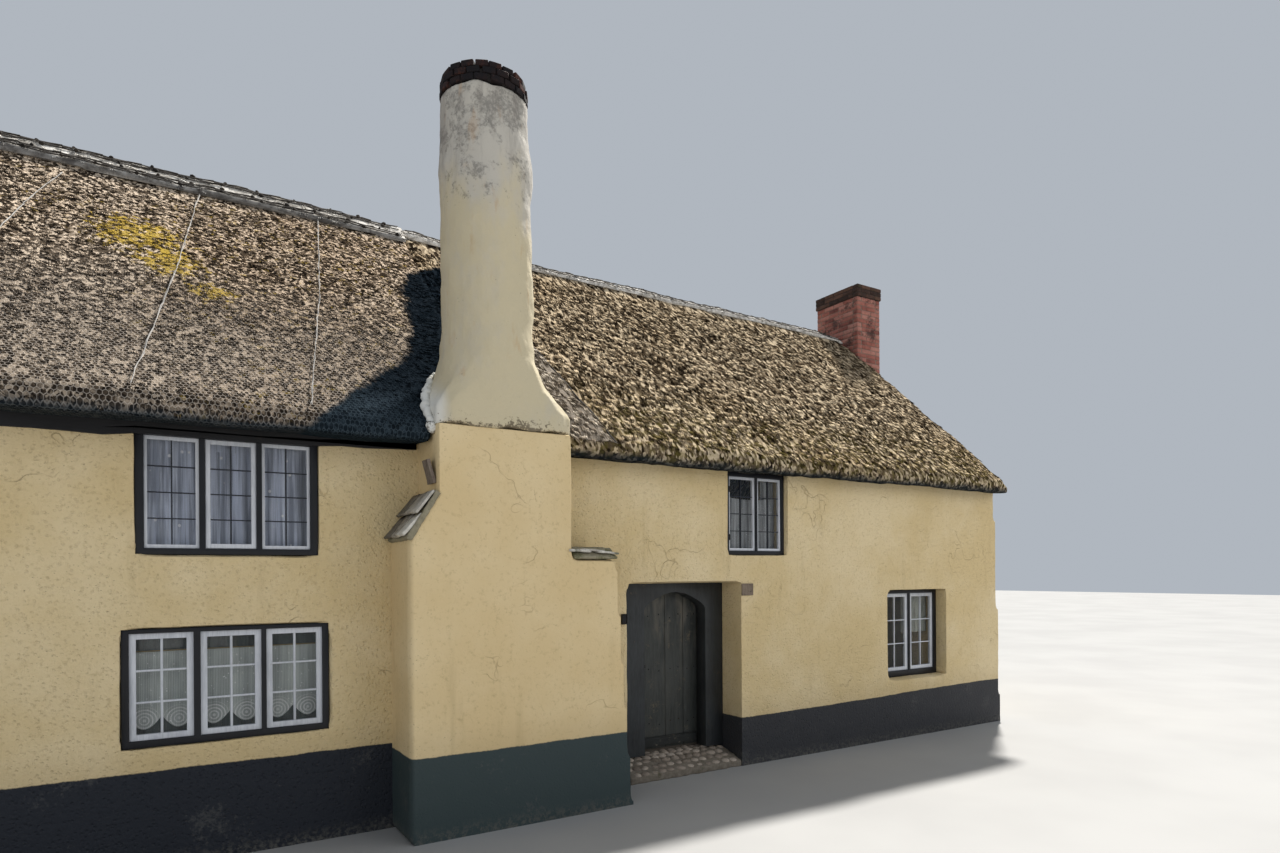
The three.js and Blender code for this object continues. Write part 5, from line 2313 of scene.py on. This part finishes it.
@dataclass
class FrontDoor:
    """The boarded door with its ledges and straps, in its heavy arched frame."""

    joints: tuple[float, ...] = (4.767, 4.886, 5.212, 5.476, 5.698)
    foot: float = 0.215
    head: float = 2.098
    front: float = 0.556
    thick: float = 0.026
    ledges: tuple[float, ...] = (0.52, 1.15, 1.78)
    paint: Paint = field(default_factory=lambda: Paint(
        "door_paint", (0.043, 0.047, 0.044), (0.135, 0.115, 0.085), cover=0.43, gloss=0.42, depth=0.004,
        stain=(0.115, 0.105, 0.085),
    ))

    def build(self) -> None:
        """Builds the frame, the leaf and its ironwork."""
        self._frame()
        self._leaf()
        self._weatherboard()
        self._nails()
        self._iron()
        self._latch()

    def _frame(self) -> None:
        """Makes the arched frame, with its pins."""
        piece = merged_copy("door_frame", "door_frame_timber")
        applied(piece, "BEVEL", width=0.006, segments=2, limit_method="ANGLE", angle_limit=math.radians(50))
        paint = Paint("door_frame_paint", (0.036, 0.040, 0.043), (0.14, 0.105, 0.07), cover=0.40, gloss=0.5)
        dressed(smooth(piece), paint.make(), replaces=("door_frame",))

    def _leaf(self) -> None:
        """Makes the upright boards and the ledges behind them."""
        draw = np.random.default_rng(401)
        parts = []
        for left, right in zip(self.joints, self.joints[1:]):
            low = at(left + 0.0025, self.front, self.foot + draw.uniform(0, 0.004))
            high = at(right - 0.0025, self.front + self.thick, self.head - draw.uniform(0, 0.004))
            board = block("board", low, high)
            subdivided(board, 12)
            places = corners(board)
            fixed = places[:, 1] < low.y + self.thick * 0.5
            warp = lumps(places * (2.0, 0.0, 0.6), 0.5, int(draw.integers(1, 900)))
            places[:, 1] += np.where(fixed, np.abs(warp) * 0.004, 0.0)
            move_corners(board, places)
            parts.append(bevelled(board, 0.004, 2))
        for z in self.ledges:
            low = at(self.joints[0] + 0.03, self.front + self.thick, z - 0.07)
            high = at(self.joints[-1] - 0.03, 0.606, z + 0.07)
            parts.append(bevelled(block("ledge", low, high), 0.005, 2))
        piece = joined("door_boards", parts)
        dressed(smooth(piece), self.paint.make(), DOOR, replaces=("door_leaf",))

    def _weatherboard(self) -> None:
        """Fixes the flaking weatherboard across the door's foot."""
        piece = block("weatherboard", at(4.803, 0.532, 0.248), at(5.655, 0.5575, 0.355))
        subdivided(piece, 16)
        places = corners(piece)
        top = places[:, 2] > 0.34
        front = places[:, 1] < at(0, 0.54, 0).y
        places[:, 1] += (top & front) * 0.016
        places[:, 2] += lumps(places, 0.05, 411) * 0.004 * ~top
        move_corners(piece, places)
        paint = Paint("weatherboard_paint", (0.024, 0.026, 0.025), (0.17, 0.15, 0.12), cover=0.47,
                      along=(0.08, 1.0, 1.0), blotch=9.0)
        dressed(smooth(bevelled(piece, 0.003, 1)), paint.make(), DOOR)

    def _nails(self) -> None:
        """Drives rows of square-headed nails through the boards into the ledges."""
        head = block("nail", Vector((-0.008, -0.004, -0.008)), Vector((0.008, 0.003, 0.008)))
        choose(head)
        bpy.ops.object.mode_set(mode="EDIT")
        bpy.ops.mesh.select_all(action="SELECT")
        bpy.ops.mesh.bevel(offset=0.003, segments=1, affect="EDGES")
        bpy.ops.object.mode_set(mode="OBJECT")
        places = []
        draw = np.random.default_rng(421)
        for left, right in zip(self.joints, self.joints[1:]):
            for z in self.ledges:
                for part in (0.28, 0.72):
                    x = left + (right - left) * part + draw.uniform(-0.006, 0.006)
                    spot = at(x, self.front, z + draw.uniform(-0.03, 0.03))
                    turn = Matrix.Rotation(draw.uniform(-0.5, 0.5), 4, "Y")
                    places.append(Matrix.Translation(spot) @ turn)
        nails = stamped("door_nails", head, places, draw.random(len(places)))
        dressed(nails, Iron("nail_iron").make(), DOOR)

    def _iron(self) -> None:
        """Makes the long strap hinges behind the door, with their eyes."""
        parts = []
        for z in (0.52, 1.78):
            strap = block("strap", at(5.18, 0.606, z + 0.008), at(5.712, 0.613, z + 0.042))
            parts.append(bevelled(strap, 0.002, 1))
            eye = primitive(
                bpy.ops.mesh.primitive_cylinder_add, vertices=20, radius=0.0135, depth=0.039,
                location=at(5.716, 0.618, z + 0.025),
            )
            parts.append(bevelled(settle(eye), 0.0015, 1))
        piece = joined("door_straps", parts)
        dressed(smooth(piece), Iron("strap_iron").make(), DOOR)

    def _latch(self) -> None:
        """Makes the thumb latch's plate and handle."""
        low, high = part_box("door_latch")
        middle = (low + high) / 2
        plate = bevelled(block("plate", Vector((low.x, high.y - 0.004, low.z)), high), 0.0015, 1)
        line = []
        for number in range(9):
            part = number / 8
            bow = math.sin(part * math.pi)
            along = low.x + 0.006 + (high.x - low.x - 0.012) * part
            out = high.y - 0.003 - bow * (high.y - low.y - 0.006)
            line.append(Vector((along, out, middle.z)))
        handle = rod("handle", [line], 0.0032, 8)
        piece = joined("door_latch_iron", [plate, handle])
        dressed(smooth(piece), Iron("latch_iron").make(), DOOR, replaces=("door_latch",))


# Small masonry


@dataclass
class Slates:
    """The mossy slates laid over one shoulder of the chimney breast."""

    node: str
    start: tuple[float, float]  # X and Z of the lower edge of the slope
    end: tuple[float, float]
    courses: int
    across: tuple[float, ...]
    seed: int
    length: float = 0.20
    sunk: tuple[float, float] = (0.0, 0.0)  # how far the bed is moved along X and Z

    def build(self) -> None:
        """Lays the slates in overlapping rows over a bed of mortar."""
        draw = np.random.default_rng(self.seed)
        slate = self._slate()
        run = Vector((self.end[0] - self.start[0], 0.0, self.end[1] - self.start[1]))
        slope = math.atan2(run.z, run.x)
        places, shades = [], []
        for course in range(self.courses):
            part = course / max(1, self.courses - 1)
            for row, (front, back) in enumerate(zip(self.across, self.across[1:])):
                shift = draw.uniform(-0.012, 0.012)
                middle = at(
                    self.start[0] + run.x * part * 0.78, (front + back) / 2 + shift,
                    self.start[1] + run.z * part * 0.78 + 0.012 * (course % 2),
                )
                tip = Matrix.Rotation(-slope * 0.84 + draw.uniform(-0.06, 0.06), 4, "Y")
                turn = Matrix.Rotation(draw.uniform(-0.06, 0.06), 4, "Z")
                size = Matrix.Diagonal((self.length, back - front - 0.018, draw.uniform(1.1, 1.9), 1.0))
                places.append(Matrix.Translation(middle) @ tip @ turn @ size)
                # Painted shade: each row is darker the nearer it lies to the wall, with a little random
                # spread.
                shades.append(0.25 * draw.random() + 0.75 * (1.0 - row / (len(self.across) - 2)))
        rows = stamped(self.node + "_rows", slate, places, shades)
        finish = Masonry(
            self.node + "_slate", ((0.08, 0.070, 0.058), (0.23, 0.205, 0.17), (0.62, 0.60, 0.54)),
            growth=(0.065, 0.075, 0.038), cover=0.47, size=20.0, depth=0.01,
        )
        dressed(rows, finish.make())
        bed = merged_copy(self.node, self.node + "_bed")
        places = corners(bed)
        middle = (places.min(axis=0) + places.max(axis=0)) / 2
        sunk = np.array([self.sunk[0], 0.0, self.sunk[1]])
        move_corners(bed, middle + (places - middle) * np.array([0.95, 0.97, 0.90]) + sunk)
        reskinned(bed, 0.014)
        relief(bed, ((0.08, 0.007), (0.03, 0.004)), self.seed)
        mortar = Masonry(
            self.node + "_mortar", ((0.12, 0.11, 0.08), (0.24, 0.215, 0.15), (0.36, 0.33, 0.24)),
            growth=(0.10, 0.10, 0.045), cover=0.5, size=22.0,
        )
        dressed(smooth(shaded_copy(bed, 0.4), 60), mortar.make(), replaces=(self.node,))

    def add_upright(self, foot: Vector, lean: float, size: Vec3) -> None:
        """Leans one slate on edge against the wall above the slope.

        Args:
            foot: The middle of its lower edge.
            lean: How far its head leans out to the left, in degrees.
            size: Its thickness, its width along the wall's side and its height.
        """
        piece = self._slate()
        piece.name = self.node + "_upright"
        thick, wide, high = size
        shape = Matrix.Diagonal((high, wide, thick / 0.014, 1.0))
        stand = Matrix.Rotation(math.radians(-90.0 - lean), 4, "Y")
        piece.data.transform(Matrix.Translation(foot) @ stand @ Matrix.Translation((high / 2, 0, 0)) @ shape)
        finish = Masonry(
            self.node + "_old_slate", ((0.06, 0.044, 0.036), (0.14, 0.11, 0.09), (0.27, 0.235, 0.19)),
            growth=(0.07, 0.055, 0.04), cover=0.46, size=18.0, depth=0.01,
        )
        dressed(smooth(shaded_copy(piece, 0.5), 40), finish.make())

    def _slate(self) -> Piece:
        """Models one slate with a ragged, slightly split edge.

        Returns:
            The slate.
        """
        piece = block("slate", Vector((-0.5, -0.5, -0.007)), Vector((0.5, 0.5, 0.007)))
        subdivided(piece, 4)
        places = corners(piece)
        edge = np.max(np.abs(places[:, :2]), axis=1) > 0.45
        ragged = lumps(places * (4.0, 4.0, 30.0), 1.0, self.seed + 1)
        places[:, 0] *= 1.0 - 0.05 * np.abs(ragged) * edge
        ragged = lumps(places * (4.0, 4.0, 30.0), 1.0, self.seed + 2)
        places[:, 1] *= 1.0 - 0.04 * np.abs(ragged) * edge
        places[:, 2] += lumps(places * (3.0, 3.0, 0.0), 1.0, self.seed + 3) * 0.004
        move_corners(piece, places)
        return piece


@dataclass
class GableStack:
    """The red brick stack on the right gable, with its dark oversailing top courses."""

    course: float = 0.075
    joint: float = 0.010
    length: float = 0.225
    depth: float = 0.100

    def build(self) -> None:
        """Lays the shaft's bricks and then the cap's."""
        low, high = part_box("gable_stack")
        red = Masonry(
            "red_brick", ((0.10, 0.036, 0.032), (0.285, 0.104, 0.080), (0.41, 0.20, 0.16)),
            growth=(0.030, 0.021, 0.021), cover=0.475, size=9.0,
        )
        self._laid("gable_stack", low, high, red, "red_brick", 501, 0.008)
        low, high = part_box("gable_stack_cap")
        dark = Masonry(
            "dark_brick", ((0.020, 0.014, 0.012), (0.050, 0.028, 0.022), (0.11, 0.060, 0.042)),
            growth=(0.045, 0.042, 0.018), cover=0.46, size=10.0,
        )
        self._laid("gable_stack_cap", low, high, dark, "sooty_brick", 511, 0.010)

    def _laid(
        self, node: str, low: Vector, high: Vector, finish: Masonry, slot: str, seed: int, recess: float
    ) -> None:
        """Lays bricks in courses round a mortar core.

        Args:
            node: The CAD node that the courses stand for.
            low: The lowest corner of the stack.
            high: The highest corner of the stack.
            finish: The bricks' finish.
            slot: Which kind of brick this is; sooty_brick picks the darker mortar.
            seed: Which draw.
            recess: How far the mortar stands back from the bricks' faces.
        """
        draw = np.random.default_rng(seed)
        places, shades = [], []
        count = max(1, round((high.z - low.z) / self.course))
        rise = (high.z - low.z) / count
        for course in range(count):
            z = low.z + rise * (course + 0.5)
            for side in range(4):
                along_x = side % 2 == 0
                start, end = (low.x, high.x) if along_x else (low.y, high.y)
                if (course + side) % 2:
                    start, end = start + self.depth + self.joint, end - self.depth - self.joint
                cut = start
                first = self.length / 2 if (course // 2 + side) % 2 else self.length
                while cut < end - 0.02:
                    stop = min(cut + first, end)
                    if end - stop < 0.05:
                        stop = end
                    first = self.length
                    middle = (cut + stop) / 2
                    size = stop - cut - self.joint
                    if along_x:
                        face = low.y + self.depth / 2 if side == 0 else high.y - self.depth / 2
                        spot, turn = Vector((middle, face, z)), 0.0
                    else:
                        face = high.x - self.depth / 2 if side == 1 else low.x + self.depth / 2
                        spot, turn = Vector((face, middle, z)), math.pi / 2
                    out = draw.uniform(-0.0035, 0.0)
                    shape = Matrix.Diagonal((size, self.depth + out, rise - self.joint, 1.0))
                    tip = Matrix.Rotation(turn + draw.uniform(-0.006, 0.006), 4, "Z")
                    places.append(Matrix.Translation(spot) @ tip @ shape)
                    shades.append(draw.random())
                    cut = stop
        brick = bevelled(block("brick", Vector((-0.5, -0.5, -0.5)), Vector((0.5, 0.5, 0.5))), 0.03, 1)
        bricks = stamped(node + "_bricks", brick, places, shades)
        dressed(bricks, finish.make())
        core = merged_copy(node, node + "_mortar")
        spots = corners(core)
        middle = (low + high) / 2
        for axis, reach in ((0, high.x - middle.x), (1, high.y - middle.y)):
            away = spots[:, axis] - middle[axis]
            outer = np.abs(away) > reach - 0.03
            sunk = middle[axis] + np.sign(away) * (np.abs(away) - recess)
            spots[:, axis] = np.where(outer, sunk, spots[:, axis])
        spots[:, 2] = np.where(spots[:, 2] > high.z - 0.01, spots[:, 2] - 0.012, spots[:, 2])
        move_corners(core, spots)
        mortar = Masonry(
            node + "_joints", ((0.10, 0.075, 0.055), (0.19, 0.15, 0.12), (0.30, 0.26, 0.21)), cover=0.45,
            growth=(0.05, 0.035, 0.03), size=30.0,
        )
        if slot == "sooty_brick":
            mortar = Masonry(
                node + "_joints", ((0.02, 0.016, 0.014), (0.045, 0.036, 0.030), (0.08, 0.068, 0.055)),
                cover=0.5, size=30.0,
            )
        dressed(shaded_copy(core, 0.4), mortar.make(), replaces=(node,))


@dataclass
class Doorstep:
    """The worn stone step in front of the door, set with cobbles."""

    size: float = 0.115
    wear: float = 0.12
    worn_reach: float = 0.34

    def _worn(self, away: np.ndarray) -> np.ndarray:
        """Returns how far the step is worn down at each distance from its front edge."""
        return self.wear * np.clip(1.0 - away / self.worn_reach, 0.0, 1.0) ** 1.3

    def build(self) -> None:
        """Builds the bed and its cobbles."""
        low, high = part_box("doorstep")
        bed = merged_copy("doorstep", "doorstep_bed")
        places = corners(bed)
        places[:, 2] = np.where(places[:, 2] > high.z - 0.01, places[:, 2] - 0.022, places[:, 2])
        move_corners(bed, places)
        reskinned(bed, 0.022)
        places = corners(bed)
        places[:, 2] -= self._worn(places[:, 1] - low.y) * np.clip(places[:, 2] / high.z, 0.0, 1.0)
        move_corners(bed, places)
        relief(bed, ((0.15, 0.010), (0.05, 0.006)), 601)
        earth = Masonry(
            "step_bed", ((0.07, 0.06, 0.045), (0.15, 0.13, 0.105), (0.25, 0.22, 0.18)), cover=0.45, size=24.0,
            growth=(0.07, 0.065, 0.04),
        )
        dressed(smooth(shaded_copy(bed, 0.45), 60), earth.make(), replaces=("doorstep",))
        draw = np.random.default_rng(603)
        cobble = primitive(bpy.ops.mesh.primitive_ico_sphere_add, subdivisions=2, radius=0.5)
        places, shades = [], []
        y = low.y + self.size * 0.55
        row = 0
        while y < high.y - self.size * 0.4:
            x = low.x + self.size * (0.6 if row % 2 else 1.0)
            while x < high.x - self.size * 0.5:
                wide = self.size * draw.uniform(0.85, 1.25)
                deep = self.size * draw.uniform(0.75, 1.05)
                sunk = 0.032 + float(self._worn(np.array([y - low.y]))[0])
                spot = Vector((
                    x, y + draw.uniform(-0.012, 0.012), high.z - sunk + draw.uniform(-0.008, 0.004)
                ))
                turn = Matrix.Rotation(draw.uniform(-0.5, 0.5), 4, "Z")
                places.append(Matrix.Translation(spot) @ turn @ Matrix.Diagonal((wide, deep, 0.062, 1.0)))
                shades.append(draw.random())
                x += wide * 0.97
            y += self.size * 0.82
            row += 1
        stones = stamped("doorstep_cobbles", cobble, places, shades)
        stone = Masonry(
            "cobble", ((0.12, 0.10, 0.08), (0.24, 0.20, 0.165), (0.38, 0.33, 0.28)), cover=0.42, size=16.0,
            growth=(0.10, 0.095, 0.06),
        )
        dressed(smooth(stones, 60), stone.make())


@dataclass
class Fittings:
    """The small things on the front wall, and the finishes of the floors inside."""

    def build(self) -> None:
        """Builds the plate and the bell box and finishes the floors."""
        self._plate()
        self._bell_box()
        self._floors()

    def _plate(self) -> None:
        """Makes the small blank plate beside the door, with a raised rim."""
        low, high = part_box("number_plate")
        field_plate = block("plate", Vector((low.x, low.y + 0.004, low.z)), high)
        rim = framed("rim", low, Vector((high.x, low.y + 0.006, high.z)), 0.010, 0.010)
        piece = joined("plain_plate", [bevelled(field_plate, 0.002, 1), rim])
        paint = Paint("plate_paint", (0.20, 0.155, 0.115), (0.06, 0.048, 0.038), cover=0.48, blotch=18.0)
        dressed(smooth(piece), paint.make(), replaces=("number_plate",))

    def _bell_box(self) -> None:
        """Makes the small dark box left of the door."""
        low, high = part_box("bell_box")
        body = bevelled(block("box", Vector((low.x, low.y + 0.006, low.z)), high), 0.005, 2)
        lid = framed("lid", low, Vector((high.x, low.y + 0.010, high.z)), 0.012, 0.014)
        piece = joined("small_box", [body, lid])
        dressed(smooth(piece), Iron("box_iron").make(), replaces=("bell_box",))

    def _floors(self) -> None:
        """Gives the floors that show through the door and windows their finishes."""
        stone = Masonry(
            "floor_stone", ((0.10, 0.085, 0.07), (0.20, 0.17, 0.14), (0.30, 0.26, 0.22)), cover=0.4, size=3.0
        )
        boards = Paint("old_boards", (0.16, 0.10, 0.055), (0.08, 0.05, 0.03), along=(0.08, 1.0, 1.0))
        for node, finish in (("ground_floor", stone), ("upper_floor", boards)):
            material = finish.make()
            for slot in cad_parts[node].material_slots:
                slot.material = material


def straw_tuft(
    seed: int, straws: int = 3, lengths: tuple[float, float] = (0.035, 0.065), spread: float = 40.0
) -> Piece:
    """Models one tuft of a few thin straws that spring from one place.

    Args:
        seed: Which draw of lengths and leanings.
        straws: How many straws it has.
        lengths: The least and most length of a straw.
        spread: How far the straws fan out to either side, in degrees.

    Returns:
        The tuft, which runs along X from the origin.
    """
    draw = np.random.default_rng(seed)
    parts = []
    for number in range(straws):
        straw = settle(primitive(
            bpy.ops.mesh.primitive_cone_add, vertices=3, radius1=0.0085, radius2=0.0, depth=1.0,
            location=(0.5, 0, 0), rotation=(0, math.radians(90), 0),
        ))
        spin = draw.uniform(0, 3)
        reach = draw.uniform(*lengths)
        fan = math.radians(draw.uniform(-spread, spread))
        lift = math.radians(draw.uniform(-14, 4))
        shape = (
            Matrix.Translation((0, (number - (straws - 1) / 2) * 0.016, 0.002))
            @ Matrix.Rotation(fan, 4, "Z")
            @ Matrix.Rotation(lift, 4, "Y")
            @ Matrix.Diagonal((reach, 1.0, 0.75, 1.0))
            @ Matrix.Rotation(spin, 4, "X")
        )
        straw.data.transform(shape)
        parts.append(straw)
    return joined("straw_tuft", parts)


def main() -> None:
    """Builds the cottage piece by piece, in order."""
    logging.basicConfig(level=logging.INFO, format="%(message)s")
    Stage().build()
    Walls().build()
    FrontChimney().build()
    for roof in roofs():
        roof.build()
    for roll in ridge_rolls():
        roll.build()
    RoofTrim().build()
    for window in front_windows():
        window.build()
    for name in ("lower_1", "lower_2", "upper_1", "upper_2"):
        BackWindow(name).build()
    FrontDoor().build()
    left = Slates(
        "shoulder_slates_left", (1.866, 2.723), (2.010, 2.965), 2, (-0.63, -0.43, -0.21, 0.0), 701, 0.25,
        (0.042, 0.0275),
    )
    left.build()
    left.add_upright(at(2.078, -0.47, 3.09), 13.0, (0.030, 0.15, 0.215))
    Slates(
        "shoulder_slates_right", (3.46, 2.52), (3.86, 2.50), 3, (-0.63, -0.40, -0.20, 0.0), 711, 0.24
    ).build()
    GableStack().build()
    Doorstep().build()
    Fittings().build()


def ridge_rolls() -> list[RidgeRoll]:
    """Returns the two stretches of the ridge.

    Returns:
        The rolls.
    """
    tones = {"dark": (0.16, 0.148, 0.13), "mid": (0.56, 0.535, 0.495), "light": (0.80, 0.78, 0.74)}
    return [
        RidgeRoll(
            "ridge_cap_left", Straw("left_ridge_straw", **tones, shaded=True, shaded_edge=0.375),
            (0.16, 0.21, 0.31, 0.36), ((0.16, 0.21), (0.31, 0.36)), 0.020, 801, pitch=0.34, radius=0.0060,
        ),
        RidgeRoll(
            "ridge_cap_right", Straw("right_ridge_straw", **tones, shaded=True),
            (0.07, 0.20), ((0.07, 0.20),), 0.0, 851, pitch=0.24, radius=0.0050,
        ),
    ]


def roofs() -> list[Thatch]:
    """Returns the two halves of the roof, the left one under wire netting.

    Returns:
        The halves.
    """
    left_tones = {"dark": (0.014, 0.010, 0.007), "mid": (0.118, 0.088, 0.061), "light": (0.70, 0.575, 0.445)}
    right_tones = {"dark": (0.016, 0.011, 0.007), "mid": (0.140, 0.104, 0.066), "light": (0.55, 0.45, 0.315)}
    patches = (
        (tuple(at(-0.10, 1.46, 5.50)), 0.62), (tuple(at(0.17, 1.10, 5.17)), 0.45),
        (tuple(at(0.48, 0.74, 4.83)), 0.30),
    )
    return [
        Thatch(
            "thatch_left",
            Straw("netted_thatch", **left_tones, lichen_at=patches, netted=True),
            Straw("netted_straw", **left_tones, lichen_at=patches, shaded=True, netted=True),
            "netted_thatch",
            ((0.55, 0.012), (0.16, 0.005)),
            {Slope.FRONT: 430.0, Slope.BACK: 150.0},
            (-3.0, 6.0), 50.0, (0.6, 1.1), 101, reach=(0.024, 0.055), thin_below=3.75,
        ),
        Thatch(
            "thatch_right",
            Straw("coarse_thatch", **right_tones, moss=0.35, grain=(34.0, 11.0)),
            Straw("coarse_straw", **right_tones, moss=0.35, grain=(34.0, 11.0), shaded=True),
            "coarse_thatch",
            ((0.6, 0.014), (0.2, 0.012), (0.10, 0.008)),
            {Slope.FRONT: 360.0, Slope.BACK: 140.0},
            (1.0, 13.0), 15.0, (0.8, 1.35), 151, reach=(0.060, 0.115), spread=14.0, trimmed=True,
        ),
    ]


if __name__ == "__main__":
    main()
